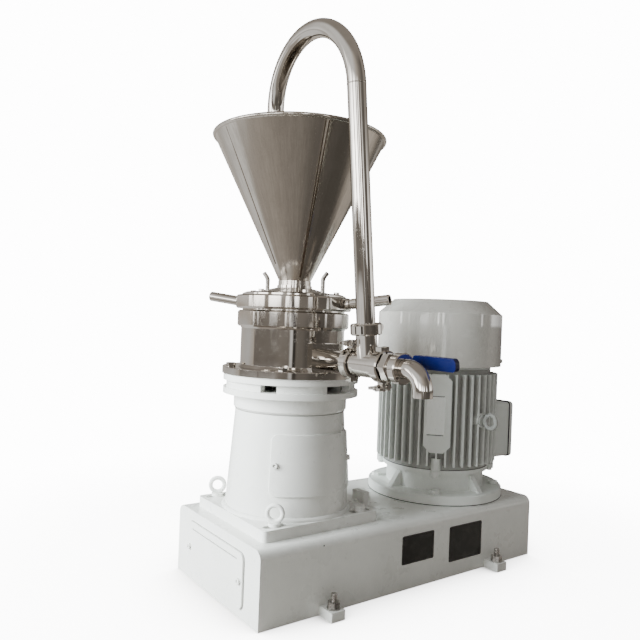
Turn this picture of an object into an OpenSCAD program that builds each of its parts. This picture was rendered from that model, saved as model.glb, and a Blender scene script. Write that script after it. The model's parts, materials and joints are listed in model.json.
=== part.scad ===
// Split vertical colloid mill: a milling head on a cast column and a flange motor beside it,
// both on a hollow base that hides the belt drive. Lengths are in millimetres.
// Origin on the floor under the middle of the base, +X towards the motor, -Y to the discharge, +Z up.

/* [Base] */
// Length of the base
base_l = 700; // [670:5:800]
// Width of the base
base_w = 315; // [305:5:360]
// Height of the base
base_h = 130; // [124:1:170]
// Wall of the base's sides and of its rim
base_wall = 6; // [4:0.5:8]
// Thickness of the base's top plate
base_top_t = 10; // [8:1:14]
// Rounding along the base's top edges
base_edge_r = 16; // [10:1:24]
// Width of the rim turned in under the base
base_lip = 18; // [10:1:30]
// Distance of the foot lugs from the middle, along the base
lug_x = 214; // [190:1:240]
// Width of a foot lug
lug_w = 30; // [28:1:44]
// Reach of a foot lug from the base's side
lug_out = 36; // [32:1:50]
// Height of a foot lug
lug_h = 17; // [10:1:30]
// Hold-down stud diameter
stud_d = 12; // [8:1:14]
// Free length of a stud above its lug
stud_top = 26; // [20:1:40]
// Width of the end cover
end_cover_w = 214; // [200:1:240]
// Height of the end cover
end_cover_h = 94; // [80:1:98]
// Thickness of the end cover
end_cover_t = 4; // [2:0.5:8]

/* [Column] */
// Distance of the mill axis left of the middle of the base
mill_off = 200; // [195:1:205]
// Side of the square foot plate
plate_w = 252; // [248:1:262]
// Thickness of the foot plate
plate_t = 20; // [14:1:26]
// Distance of the foot slots from the mill axis, along the base
slot_dx = 94; // [90:1:96]
// Distance of the foot slots from the mill axis, across the base
slot_dy = 108; // [107:0.5:112]
// Length of a foot slot
slot_l = 46; // [36:1:50]
// Width of a foot slot
slot_w = 14; // [13:0.5:16]
// Column radius at the foot plate
cone_r0 = 118.5; // [114:0.5:120]
// Column radius under the collar
cone_r1 = 105; // [96:0.5:107]
// Height of the column's cone
cone_h = 185; // [160:1:240]
// Wall of the column
column_wall = 9; // [6:0.5:14]
// Radius of the column's collar
collar_r = 108.7; // [107:0.1:110]
// Height of the collar
collar_h = 29; // [24:1:50]
// Radius of the column's top flange and the seat ring
seat_r = 130; // [129:0.5:134]
// Thickness of the column's top flange
column_flange_t = 11; // [8:1:16]
// Height of the drain windows under the seat ring
window_h = 14; // [10:1:20]
// Thickness of the seat ring
seat_t = 12; // [8:1:16]
// Half angle of the inspection cover
cover_half_a = 49; // [36:1:56]
// Height of the inspection cover
cover_h = 106; // [80:1:130]

/* [Milling head] */
// Radius of the housing's bottom flange
housing_flange_r = 133; // [131:0.5:138]
// Thickness of the housing's bottom flange
housing_flange_t = 13; // [10:1:16]
// Outer radius of the housing's body
housing_r = 100; // [98:0.5:103]
// Height of the housing's body
housing_h = 76; // [74:1:90]
// Radius of the housing's top flange
top_flange_r = 107.5; // [105:0.5:110]
// Height of the housing's top flange
top_flange_h = 31; // [24:1:40]
// Bore of the housing, radius
chamber_r = 92; // [90:0.5:94]
// Outer radius of the adjusting ring
ring_r = 111.5; // [109:0.5:116]
// Height of the adjusting ring
ring_h = 26; // [22:1:36]
// Gap seen between housing and adjusting ring
ring_gap = 3; // [2:0.5:5]
// Direction of the handles and hooks, degrees from +X
handle_az = -64; // [-70:1:-52]
// Upward slope of the handles
handle_tilt = 7; // [0:1:10]
// Reach of a handle from the mill axis
handle_reach = 200; // [180:1:203]
// Diameter of a handle grip
grip_d = 20; // [16:1:22]
// Number of teeth on the grinding rotor
rotor_teeth = 36; // [24:1:48]
// Number of teeth in the grinding stator
stator_teeth = 40; // [24:1:48]
// Gap between the grinding cones at rest
mill_gap = 0.5; // [0.4:0.1:1]

/* [Hopper] */
// Outer radius of the hopper's rim
hopper_r = 167.5; // [140:0.5:190]
// Height of the hopper's cone
hopper_h = 273; // [220:1:300]
// Outer radius of the hopper's neck
neck_r = 31; // [29:0.5:34]
// Wall of the hopper
hopper_wall = 2; // [1.5:0.5:3]

/* [Discharge] */
// Height of the outlet axis above the housing's flange
outlet_up = 22; // [21:0.5:26]
// Outer radius of the discharge tube
tube_r = 19; // [17:0.5:20]
// Wall of the discharge and return tubes
tube_wall = 2; // [1.5:0.5:3]
// Distance of the first clamp from the mill axis
clamp1_s = 188; // [180:1:196]
// Run of the three-way valve between its two faces
valve_run = 76; // [74:1:90]
// Run of the adapter between the valve and the spout
adapter_run = 41; // [38:1:50]
// Outer radius of the spout
spout_r = 15.5; // [13:0.5:17]
// Straight length of the spout before its bend
spout_in = 16; // [12:1:40]
// Bend radius of the spout
spout_bend = 32; // [26:1:60]
// Straight length of the spout after its bend
spout_out = 8; // [6:1:60]
// Outer radius of the return pipe
pipe_r = 16; // [13:0.5:17]
// Lean of the return pipe towards the left
pipe_lean = 5.7; // [0:0.1:8]
// Length of the riser from the outlet axis to its bend
riser_l = 456; // [440:1:520]
// Bend radius of the return pipe
pipe_bend = 123; // [110:1:135]
// Length of the leg that hangs in the hopper
drop_l = 106; // [60:1:130]
// Length of the valve lever
lever_l = 155; // [130:1:180]
// Width of the lever's grip
lever_grip_w = 21; // [20:1:32]

/* [Motor] */
// Distance of the motor axis right of the middle of the base
motor_off = 205; // [200:1:210]
// Radius of the motor's flange
motor_flange_r = 150; // [148:1:152]
// Thickness of the motor's flange
motor_flange_t = 20; // [14:1:24]
// Radius of the flange bolt circle
motor_bolt_r = 132.5; // [131:0.5:134]
// Radius of the motor's flange bell
bell_r = 109; // [106:1:112]
// Height of the flange bell above the flange
bell_h = 47; // [40:1:60]
// Radius at the root of the cooling fins
frame_r = 118; // [116:0.5:122]
// Radius at the tip of the cooling fins
fin_r = 134; // [128:0.5:135]
// Number of cooling fins round the motor
fin_n = 44; // [32:4:52]
// Height of the finned frame
frame_h = 215; // [200:1:260]
// Radius of the fan cowl
cowl_r = 140; // [139:0.5:144]
// Height of the cowl's straight wall
cowl_h = 114; // [100:1:130]
// Height of the cowl's sloping shoulder
cowl_slope_h = 30; // [16:1:40]
// Radius of the cowl's flat top
cowl_top_r = 106.5; // [98:0.5:120]
// Width of the terminal box along Y
box_w = 104; // [90:1:120]
// Height of the terminal box
box_h = 130; // [90:1:140]
// Distance of the terminal box's lid from the motor axis
box_reach = 210; // [190:1:214]

/* [Belt drive] */
// Pitch radius of the motor pulley
motor_pulley_r = 80; // [60:1:90]
// Pitch radius of the mill pulley
mill_pulley_r = 40; // [36:1:60]
// Number of belts
belt_n = 3; // [2:1:3]
// Height of the belts' middle above the floor
belt_z = 74; // [70:1:76]

/* [Hidden] */
$fn = 64;

// Small overlap used inside one solid and past a cut
eps = 0.5;
// Clearance of pieces that seat in each other and stay put
seat_fit = 0.1;
// Clearance between pieces that move past each other
run_gap = 0.4;
// Radial clearance of a shaft in its bearing
shaft_fit = 0.05;
// Clearance of a screw in its hole
screw_fit = 0.3;

mill_x = -mill_off;
motor_x = motor_off;

// Levels up the column and the milling head
z_plate = base_h + plate_t;
z_cone = z_plate + cone_h;
z_collar = z_cone + collar_h;
z_column = z_collar + column_flange_t;
z_window = z_column + window_h;
z_seat = z_window + seat_t;
z_flange = z_seat + housing_flange_t;
z_body = z_flange + housing_h;
z_top = z_body + top_flange_h;
z_ring = z_top + ring_gap;
z_ring_top = z_ring + ring_h;
z_cover = z_ring_top + 0.3;
cover_edge_t = 5.7;
cover_lip_t = 2.7;
cover_r = 100;
cover_flat_r = 93;
cover_bolt_r = 84;
dome_r = 76;
cover_rise = 10;
cover_boss_h = 5;
z_neck = z_cover + cover_edge_t + cover_rise + cover_boss_h;
neck_ring_h = 9;
z_hopper = z_neck + neck_ring_h;
z_rim = z_hopper + hopper_h;

// Fasteners of the base and the column
m_column = 12;
m_jack = 10;
m_cover = 6;
m_housing = 10;
jack_t = 14;
jack_w = 36;
jack_h = 36;
jack_y = 45;
jack_space = 16;
jack_x = mill_x + plate_w/2 + jack_space;
jack_z = base_h + plate_t/2;
lug_y = base_w/2 + lug_out - lug_w/2;
end_cover_z = base_h/2 - 1;
end_screw_y = end_cover_w/2 - 10;
end_open_in = 20;
toe_r = 6;
cone_slope = atan((cone_r0 - cone_r1)/cone_h);
cover_mid_z = z_plate + cone_h/2 + 4;
inspection_t = 4;
inspection_a = cover_half_a - 4;

// Mill bearings and shaft
bearing_r = 50;
bearing_b = 25;
bearing_in = 8;
sleeve_r = 60;
sleeve_bore_r = 44;
journal_r = 22.5;
pulley_seat_r = 19;
shaft_mid_r = 26;
shaft_top_r = 22;
cap_r = 64;
cap_t = 8;
cap_hole_gap = 4;
z_lower_bearing = base_h + bearing_in;
z_upper_bearing = z_column - bearing_in - bearing_b;
seal_r = 40;
floor_t = 8;
seal_seat_in = 30;

// Grinding cones
z_rotor = z_flange + 40;
rotor_h = 58;
rotor_r0 = 66;
rotor_r1 = 40;
rotor_slope = atan((rotor_r0 - rotor_r1)/rotor_h);
tooth_depth = 3;
tooth_slot = 4.4;
tooth_skew = 14;
stator_r = 80;
stator_up = 3;
throat_r = 27;
vane_h = 20;
vane_n = 6;
carrier_r = chamber_r - run_gap;
z_stator = z_rotor + 1;
z_web = z_stator + rotor_h + stator_up;
ring_bore_r = carrier_r + 1.4;
hook_r = 62;
hook_hole_r = 4.7;
bolt_circle_r = (seat_r + collar_r)/2 - 2;
housing_bolt_in = 6;

// Discharge line, all along s, the distance forward of the mill axis
outlet_z = z_flange + outlet_up;
boss_s = housing_r + 10;
boss_w = 60;
boss_h = 50;
ferrule_r = tube_r + 3.5;
ferrule_rim = 3;
ferrule_taper = 5;
gasket_t = 2;
clamp_r = ferrule_r + 4;
clamp_half_w = gasket_t/2 + ferrule_rim + ferrule_taper;
clamp_bolt_r = clamp_r + 7;
ear_t = 6;
ear_gap = 5;
ear_w = 13;
m_clamp = 6;
valve_s = clamp1_s + gasket_t/2;
clamp2_s = valve_s + valve_run + gasket_t/2;
adapter_s = clamp2_s + gasket_t/2;
spout_s = adapter_s + adapter_run;
riser_s = valve_s + valve_run/2;
branch_r = pipe_r + 2;
branch_l = 58;
riser_clamp_up = branch_l + gasket_t/2;
union_r = tube_r + 3;
union_in = 9;
union_collar = 4;
union_nut_r = union_r + 3;
valve_r = tube_r + 2.5;
ball_r = 16.5;
port_r = 11.5;
port_in = 12;
stem_r = 5;
lever_t = 3;
lever_x = 40;
stem_out = lever_x + lever_t + 3;
stem_boss_r = 11;
stem_boss_l = lever_x - 1.5;
lever_w = 15;
lever_eye_r = 14;
lever_rise = 6;
lever_grip_l = 92;
lever_grip_t = 9;

// Motor levels and inner pieces
z_bell = base_h + motor_flange_t;
z_frame = z_bell + bell_h;
z_frame_top = z_frame + frame_h;
z_cowl = z_frame_top + 6;
z_cowl_top = z_cowl + cowl_h + cowl_slope_h;
cowl_wall = 2;
cowl_arm_h = 14;
spigot_r = 115;
spigot_h = 4;
motor_shaft_r = 19;
motor_journal_r = 20;
motor_bearing_r = 45;
motor_bearing_b = 23;
motor_bore_r = frame_r - 12;
core_h = 140;
core_r = 67;
air_gap = 0.8;
z_core = z_frame + (frame_h - core_h)/2;
bracket_t = 12;
hub_r = 56;
z_motor_low_bearing = base_h + 10;
z_motor_high_bearing = z_frame_top - 4;
m_motor = 12;
m_tie = 8;
m_small = 5;
tie_r = frame_r + 4;
tie_web = 11;
tie_seam = 0.6;
fan_r = cowl_top_r - 4;
z_fan = z_frame_top + 34;
fan_h = 32;
fan_n = 8;
plate_az = 225;
eye_az = 270;
eye_z = z_frame + 108;
box_in = fin_r + 1;
lid_t = 12;
box_z = z_frame + 63;
gland_r = 13;
gland_bore_r = 7;

// Belts and pulleys
belt_c = motor_x - mill_x;
belt_a = asin((motor_pulley_r - mill_pulley_r)/belt_c);
belt_pitch = 15;
belt_top_w = 13;
belt_up = 3;
belt_down = 5;
belt_flank = 17;
belt_gap = 0.35;
pulley_w = belt_pitch*(belt_n - 1) + 20;
pulley_z = belt_z - pulley_w/2;

// Rounded rectangle in the drawing plane, about its middle
module rounded_rect(w, h, r) {
  square([w - 2*r, h], center = true);
  square([w, h - 2*r], center = true);
  for (x = [-1, 1], y = [-1, 1]) translate([x*(w/2 - r), y*(h/2 - r)]) circle(r);
}

// Rectangle with its corners cut off, about its middle
module cut_rect(w, h, c) {
  polygon([
    [-w/2, c - h/2], [c - w/2, -h/2], [w/2 - c, -h/2], [w/2, c - h/2],
    [w/2, h/2 - c], [w/2 - c, h/2], [c - w/2, h/2], [-w/2, h/2 - c]
  ]);
}

// Slot with round ends along X, about its middle
module slot(l, w) {
  square([l - w, w], center = true);
  for (s = [-1, 1]) translate([s*(l - w)/2, 0]) circle(d = w);
}

// Round tube standing on the plane
module tube(r_out, r_in, h) {
  difference() {
    cylinder(r = r_out, h = h);
    translate([0, 0, -eps]) cylinder(r = r_in, h = h + 2*eps);
  }
}

// Hexagonal prism of a given width across flats
module hex(af, h) {
  cylinder(d = af/cos(30), h = h, $fn = 6);
}

// Hex bolt: its head stands on the plane and its shank hangs below
module hex_bolt(d, l) {
  hex(1.6*d, 0.65*d);
  translate([0, 0, -l]) cylinder(d = d, h = l + 0.3*d);
}

// Hex nut standing on the plane, with a clear hole for its screw
module hex_nut(d) {
  difference() {
    hex(1.6*d, 0.8*d);
    translate([0, 0, -eps]) cylinder(r = d/2 + screw_fit, h = d + 2*eps);
  }
}

// Socket screw: its head stands on the plane and its shank hangs below
module socket_screw(d, l) {
  difference() {
    cylinder(d = 1.8*d, h = 0.75*d);
    translate([0, 0, 0.35*d]) hex(0.85*d, d);
  }
  translate([0, 0, -l]) cylinder(d = d, h = l + 0.3*d);
}

// Hole for a screw that stands on the plane and goes down
module screw_hole(d, l) {
  translate([0, 0, -l]) cylinder(r = d/2 + screw_fit, h = l + eps);
}

// Eyebolt: ring in the XZ plane, collar on the plane, shank below
module eyebolt(ring_r, wire_r, collar, d, l) {
  up = 0.35*d + ring_r + wire_r;
  translate([0, 0, up]) rotate([90, 0, 0]) rotate_extrude() translate([ring_r, 0]) circle(wire_r);
  cylinder(r = collar, h = 0.5*d);
  translate([0, 0, -l]) cylinder(d = d, h = l + eps);
}

// Places at the four signs of a point, at a height
module four(x, y, z) {
  for (i = [-1, 1], j = [-1, 1]) translate([i*x, j*y, z]) children();
}

// Places round the mill axis and round the motor axis
module at_mill(z) { translate([mill_x, 0, z]) children(); }
module at_motor(z) { translate([motor_x, 0, z]) children(); }
module around(n, start, r) {
  for (i = [0:n - 1]) rotate(start + 360*i/n) translate([r, 0, 0]) children();
}

// Places of the bolts that hold the housing down on the column
module at_housing_bolts() { around(5, 157.5, bolt_circle_r) children(); }

// Outlet frame: its Z runs forward out of the housing and its Y runs up
module at_outlet(s) { translate([mill_x, 0, outlet_z]) rotate([90, 0, 0]) translate([0, 0, s]) children(); }
// The same frame turned to the lean of the return pipe
module at_lean(s) { at_outlet(s) rotate(pipe_lean) children(); }

// Outline of the base across its length, standing on the floor
module base_profile(w, h, r) {
  translate([-w/2, 0]) square([w, h - r]);
  translate([-w/2 + r, 0]) square([w - 2*r, h]);
  for (s = [-1, 1]) translate([s*(w/2 - r), h - r]) circle(r);
}

module base_bar(l, w, h, r) {
  rotate([90, 0, 90]) translate([0, 0, -l/2]) linear_extrude(l) base_profile(w, h, r);
}

// Places of the end cover's screws, looking out of the left end
module at_end_screws(x) {
  for (y = [-1, 1]) translate([x, y*end_screw_y, end_cover_z]) rotate([0, -90, 0]) children();
}

module base_frame() {
  in_l = base_l - 2*base_wall;
  in_w = base_w - 2*base_wall;
  color("ivory") difference() {
    union() {
      base_bar(base_l, base_w, base_h, base_edge_r);
      four(lug_x, base_w/2 + lug_out/2 - base_wall/4, 0)
        linear_extrude(lug_h) rounded_rect(lug_w, lug_out + base_wall/2, 2);
      for (y = [-1, 1]) translate([jack_x, y*jack_y - jack_w/2, base_h - eps])
        cube([jack_t, jack_w, jack_h + eps]);
    }
    intersection() {
      base_bar(in_l, in_w, base_h - base_top_t, max(2, base_edge_r - base_wall));
      translate([-base_l/2, -base_w/2, base_wall]) cube([base_l, base_w, base_h]);
    }
    translate([-in_l/2 + base_lip, -in_w/2 + base_lip, -eps])
      cube([in_l - 2*base_lip, in_w - 2*base_lip, base_wall + 2*eps]);
    at_mill(base_h - base_top_t - eps) cylinder(r = cap_r + cap_hole_gap, h = base_top_t + 2*eps);
    at_motor(base_h - base_top_t - eps) cylinder(r = spigot_r + seat_fit, h = base_top_t + 2*eps);
    at_mill(base_h) four(slot_dx, slot_dy, 0) screw_hole(m_column, 2*base_top_t);
    at_motor(base_h) around(4, 45, motor_bolt_r) screw_hole(m_motor, 2*base_top_t);
    four(lug_x, lug_y, lug_h) screw_hole(stud_d, lug_h + eps);
    for (y = [-1, 1]) translate([jack_x + jack_t, y*jack_y, jack_z]) rotate([0, 90, 0])
      screw_hole(m_jack, jack_t + eps);
    translate([-base_l/2 - eps, 0, end_cover_z]) rotate([90, 0, 90])
      linear_extrude(base_wall + 2*eps)
        rounded_rect(end_cover_w - 2*end_open_in, end_cover_h - end_open_in, 8);
    at_end_screws(-base_l/2) screw_hole(m_cover, base_wall + eps);
  }
}

module hold_down_studs() {
  color("dimgray") four(lug_x, lug_y, 0) {
    cylinder(d = stud_d, h = lug_h + stud_top - 1);
    translate([0, 0, lug_h + stud_top - 1]) cylinder(d1 = stud_d, d2 = stud_d - 2, h = 1);
  }
}

module hold_down_nuts() {
  washer_t = 2.5;
  color("gray") four(lug_x, lug_y, lug_h) {
    tube(stud_d, stud_d/2 + screw_fit, washer_t);
    translate([0, 0, washer_t]) hex_nut(stud_d);
  }
}

module end_cover() {
  groove = 1.5;
  color("ivory") difference() {
    translate([-base_l/2 - end_cover_t, 0, end_cover_z]) rotate([90, 0, 90]) linear_extrude(end_cover_t)
      rounded_rect(end_cover_w, end_cover_h, 12);
    at_end_screws(-base_l/2 - end_cover_t) screw_hole(m_cover, end_cover_t + eps);
    translate([-base_l/2 - end_cover_t - eps, -end_cover_w/2 + 20, end_cover_z + end_cover_h/2 - 14])
      cube([groove + eps, end_cover_w - 40, 2*groove]);
  }
}

// Places on the inspection cover's two screws, looking out along the surface's normal
module at_inspection_screws(out) {
  for (s = [-1, 1]) at_mill(cover_mid_z) rotate(270 + s*inspection_a)
    translate([column_r(cover_mid_z), 0, 0]) rotate([0, 90 - cone_slope, 0])
      translate([0, 0, out]) children();
}

module cover_screws() {
  color("ivory") {
    at_end_screws(-base_l/2 - end_cover_t) socket_screw(m_cover, end_cover_t + base_wall + 2);
    at_inspection_screws(inspection_t + 2*seat_fit) socket_screw(m_cover, inspection_t + column_wall);
    at_cowl_screws() socket_screw(m_small, 14);
  }
}

module jack_screws() {
  color("gray") for (y = [-1, 1]) translate([0, y*jack_y, jack_z]) {
    translate([jack_x + jack_t, 0, 0]) rotate([0, 90, 0]) hex_bolt(m_jack, jack_t + jack_space);
    translate([jack_x, 0, 0]) rotate([0, -90, 0]) hex_nut(m_jack);
  }
}

// Radius of the column's cone at a height
function column_r(z) = cone_r0 + (cone_r1 - cone_r0)*(z - z_plate)/cone_h;

module column() {
  shoulder = 4;
  opening_in = 16;
  color("ivory") difference() {
    union() {
      at_mill(base_h) linear_extrude(plate_t) difference() {
        rounded_rect(plate_w, plate_w, 8);
        for (x = [-1, 1], y = [-1, 1]) translate([x*slot_dx, y*slot_dy]) slot(slot_l, slot_w);
      }
      at_mill(0) rotate_extrude() polygon([
        [0, base_h + eps], [cone_r0 - 1, base_h + eps], [cone_r0, z_plate], [cone_r1, z_cone],
        [collar_r, z_cone + shoulder], [collar_r, z_collar], [seat_r, z_collar],
        [seat_r, z_column], [0, z_column]
      ]);
      at_mill(z_plate) rotate_extrude() translate([cone_r0, 0]) intersection() {
        circle(toe_r);
        translate([-toe_r, -eps]) square([2*toe_r, toe_r + eps]);
      }
    }
    at_mill(0) rotate_extrude() polygon([
      [sleeve_r, z_plate], [cone_r0 - column_wall, z_plate], [cone_r1 - column_wall, z_cone],
      [cone_r1 - column_wall, z_cone + shoulder], [sleeve_r, z_cone + shoulder]
    ]);
    at_mill(base_h - eps) cylinder(r = bearing_r + seat_fit, h = bearing_in + bearing_b + eps);
    at_mill(base_h) cylinder(r = sleeve_bore_r, h = z_column - base_h);
    at_mill(z_upper_bearing) cylinder(r = bearing_r + seat_fit, h = bearing_in + bearing_b + eps);
    at_mill(z_column) at_housing_bolts() screw_hole(m_housing, housing_bolt_in + 1);
    at_mill(cover_mid_z - cover_h/2 + opening_in) rotate(270 - cover_half_a + 10)
      rotate_extrude(angle = 2*cover_half_a - 20)
        translate([cone_r1 - column_wall - 4, 0]) square([40, cover_h - 2*opening_in]);
    at_inspection_screws(0) screw_hole(m_cover, column_wall + 6);
  }
}

module inspection_cover() {
  z0 = cover_mid_z - cover_h/2;
  z1 = cover_mid_z + cover_h/2;
  r0 = column_r(z0) + 2*seat_fit;
  r1 = column_r(z1) + 2*seat_fit;
  color("ivory") difference() {
    at_mill(0) rotate(270 - cover_half_a) rotate_extrude(angle = 2*cover_half_a)
      polygon([[r0, z0], [r0 + inspection_t, z0], [r1 + inspection_t, z1], [r1, z1]]);
    at_inspection_screws(inspection_t + 1) screw_hole(m_cover, inspection_t + 4);
  }
}

module column_eyebolts() {
  color("ivory") at_mill(z_plate) for (y = [-1, 1]) translate([-slot_dx, y*slot_dy, 0]) {
    rotate(-36 + 8*y) eyebolt(13.5, 4, 11, m_column, plate_t + base_top_t + 4);
  }
}

module column_bolts() {
  washer_t = 2.5;
  color("ivory") at_mill(z_plate) for (y = [-1, 1]) translate([slot_dx, y*slot_dy, 0]) {
    tube(m_column, m_column/2 + screw_fit, washer_t);
    translate([0, 0, washer_t]) hex_bolt(m_column, washer_t + plate_t + base_top_t + 4);
  }
}

module seat_ring() {
  inner = 76;
  post_w = 22;
  recess = 6;
  // Middle and width of each drain window, degrees round the mill axis
  windows = [[146, 14], [218, 14], [283, 30], [356, 14], [72, 14]];
  color("ivory") difference() {
    at_mill(0) rotate_extrude() polygon([
      [seat_r - post_w, z_column], [seat_r - recess, z_column], [seat_r - recess, z_window],
      [seat_r, z_window], [seat_r, z_seat], [inner, z_seat],
      [inner, z_window], [seat_r - post_w, z_window]
    ]);
    for (w = windows) at_mill(0) rotate(w[0] - w[1]/2) rotate_extrude(angle = w[1])
      translate([seat_r - 2*post_w, z_column - eps]) square([3*post_w, window_h - eps]);
    at_mill(z_seat + eps) at_housing_bolts() screw_hole(m_housing, seat_t + window_h + 2*eps);
  }
}

// Closed ball bearing standing on the plane
module bearing(r_out, r_in, b) {
  face = 1.2;
  land = 0.18*(r_out - r_in);
  rotate_extrude() polygon([
    [r_in, 0], [r_in + land, 0], [r_in + land, face], [r_out - land, face], [r_out - land, 0],
    [r_out, 0], [r_out, b], [r_out - land, b], [r_out - land, b - face], [r_in + land, b - face],
    [r_in + land, b], [r_in, b]
  ]);
}

module mill_bearings() {
  color("silver") for (z = [z_lower_bearing, z_upper_bearing])
    at_mill(z) bearing(bearing_r, journal_r + shaft_fit, bearing_b);
}

module bearing_caps() {
  color("gray") {
    at_mill(z_column) difference() {
      union() {
        cylinder(r = cap_r, h = cap_t);
        translate([0, 0, -bearing_in]) cylinder(r = bearing_r - 0.2, h = bearing_in + eps);
      }
      translate([0, 0, -bearing_in - eps]) cylinder(r = shaft_top_r + 1, h = 30);
      translate([0, 0, -bearing_in - eps]) cylinder(r = bearing_r - 12, h = bearing_in);
    }
    at_mill(base_h) difference() {
      union() {
        translate([0, 0, -cap_t]) cylinder(r = cap_r, h = cap_t);
        cylinder(r = bearing_r - 0.2, h = bearing_in);
      }
      translate([0, 0, -cap_t - eps]) cylinder(r = pulley_seat_r + 1, h = 30);
      translate([0, 0, eps]) cylinder(r = bearing_r - 12, h = bearing_in);
    }
  }
}

module mill_housing() {
  cove = 5;
  step = 3;
  color("lightsteelblue") difference() {
    union() {
      at_mill(0) rotate_extrude() polygon([
        [0, z_seat], [housing_flange_r, z_seat], [housing_flange_r, z_flange - 1],
        [housing_flange_r - 1, z_flange], [housing_r + cove, z_flange],
        [housing_r, z_flange + cove], [housing_r, z_body - step], [housing_r + 2, z_body],
        [top_flange_r - step, z_body], [top_flange_r, z_body + step],
        [top_flange_r, z_top - step], [top_flange_r - step, z_top], [0, z_top]
      ]);
      translate([mill_x - boss_w/2, -boss_s, z_flange - eps])
        cube([boss_w, boss_s - chamber_r/2, boss_h + eps]);
    }
    at_mill(z_seat + floor_t) cylinder(r = chamber_r, h = z_top);
    at_mill(z_seat - eps) cylinder(r = seal_r + seat_fit, h = 2*floor_t);
    at_outlet(0) cylinder(r = tube_r - tube_wall, h = boss_s + eps);
    at_mill(z_flange) at_housing_bolts() screw_hole(m_housing, housing_flange_t + eps);
  }
}

module housing_bolts() {
  l = z_flange - z_column + housing_bolt_in;
  color("silver") at_mill(z_flange) at_housing_bolts() hex_bolt(m_housing, l);
}

module seal_seat() {
  color("darkslategray") at_mill(z_seat) tube(seal_r, shaft_top_r + 0.6, floor_t + 2);
}

// Pipe ferrule: flat face on the plane, taper going up to the tube
module ferrule(r, r_in) {
  difference() {
    union() {
      cylinder(r = ferrule_r, h = ferrule_rim);
      translate([0, 0, ferrule_rim]) cylinder(r1 = ferrule_r, r2 = r, h = ferrule_taper);
    }
    translate([0, 0, -eps]) cylinder(r = r_in, h = 2*ferrule_rim + ferrule_taper);
  }
}

module outlet_pipe() {
  l = clamp1_s - gasket_t/2 - boss_s;
  color("silver") at_outlet(boss_s) {
    tube(tube_r, tube_r - tube_wall, l);
    translate([0, 0, l]) rotate([180, 0, 0]) ferrule(tube_r, tube_r - tube_wall);
  }
}

// Three-way valve: a straight run with a branch up, a pocket for the ball and a boss for its stem
module valve_body() {
  bore = tube_r - tube_wall;
  branch_bore = pipe_r - tube_wall;
  color("silver") at_lean(riser_s) difference() {
    union() {
      translate([0, 0, -valve_run/2]) cylinder(r = tube_r, h = valve_run);
      translate([0, 0, clamp_half_w + 1 - valve_run/2])
        cylinder(r = valve_r, h = valve_run - 2*clamp_half_w - 2);
      rotate([-90, 0, 0]) cylinder(r = branch_r, h = branch_l);
      translate([0, 0, -valve_run/2]) ferrule(tube_r, 1);
      translate([0, 0, valve_run/2]) rotate([180, 0, 0]) ferrule(tube_r, 1);
      translate([0, branch_l, 0]) rotate([90, 0, 0]) ferrule(branch_r, 1);
      rotate([0, 90, 0]) cylinder(r = stem_boss_r, h = stem_boss_l);
    }
    translate([0, 0, -valve_run/2 - eps]) cylinder(r = port_r, h = valve_run + 2*eps);
    for (s = [0, 1]) mirror([0, 0, s]) translate([0, 0, valve_run/2 - port_in])
      cylinder(r = bore, h = port_in + eps);
    rotate([-90, 0, 0]) cylinder(r = port_r, h = branch_l + eps);
    translate([0, branch_l - 2*port_in, 0]) rotate([-90, 0, 0])
      cylinder(r = branch_bore, h = 2*port_in + eps);
    sphere(ball_r + run_gap);
    rotate([0, 90, 0]) cylinder(r = stem_r + shaft_fit, h = stem_boss_l + eps);
  }
}

// Return pipe as one round bar of a given radius: riser, half-turn bend and hanging leg
module return_bar(r, start, extra) {
  translate([0, start, 0]) rotate([-90, 0, 0]) cylinder(r = r, h = riser_l - start);
  translate([0, riser_l, -pipe_bend]) rotate([0, -90, 0]) rotate_extrude(angle = 180)
    translate([pipe_bend, 0]) circle(r);
  translate([0, riser_l - drop_l - extra, -2*pipe_bend]) rotate([-90, 0, 0])
    cylinder(r = r, h = drop_l + extra);
}

module return_pipe() {
  start = riser_clamp_up + gasket_t/2;
  color("silver") at_lean(riser_s) difference() {
    union() {
      return_bar(pipe_r, start, 0);
      translate([0, start, 0]) rotate([-90, 0, 0]) ferrule(pipe_r, 1);
    }
    return_bar(pipe_r - tube_wall, start - eps, eps);
  }
}

// Adapter with a clamp face, wrench flats and a round end for the spout's union nut
module outlet_adapter() {
  flats = 2*tube_r + 5;
  flats_s = ferrule_rim + ferrule_taper + 3;
  flats_l = 14;
  color("silver") at_outlet(adapter_s) difference() {
    union() {
      cylinder(r = tube_r, h = adapter_run);
      translate([0, 0, flats_s]) hex(flats, flats_l);
      ferrule(tube_r, 1);
      translate([0, 0, adapter_run - union_in]) cylinder(r = union_r, h = union_in);
    }
    cylinder(r1 = tube_r - tube_wall, r2 = spout_r - tube_wall, h = adapter_run);
    translate([0, 0, -eps]) cylinder(r = spout_r - tube_wall, h = adapter_run + 2*eps);
  }
}

module spout_bar(r, over) {
  translate([0, 0, -over]) cylinder(r = r, h = spout_in + over);
  translate([0, -spout_bend, spout_in]) rotate([0, -90, 0]) rotate_extrude(angle = 90)
    translate([spout_bend, 0]) circle(r);
  translate([0, -spout_bend - spout_out - over, spout_in + spout_bend]) rotate([-90, 0, 0])
    cylinder(r = r, h = spout_out + over);
}

module spout() {
  color("silver") at_outlet(spout_s) difference() {
    union() {
      spout_bar(spout_r, 0);
      cylinder(r = union_r, h = union_collar);
    }
    spout_bar(spout_r - tube_wall, eps);
  }
}

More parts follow.
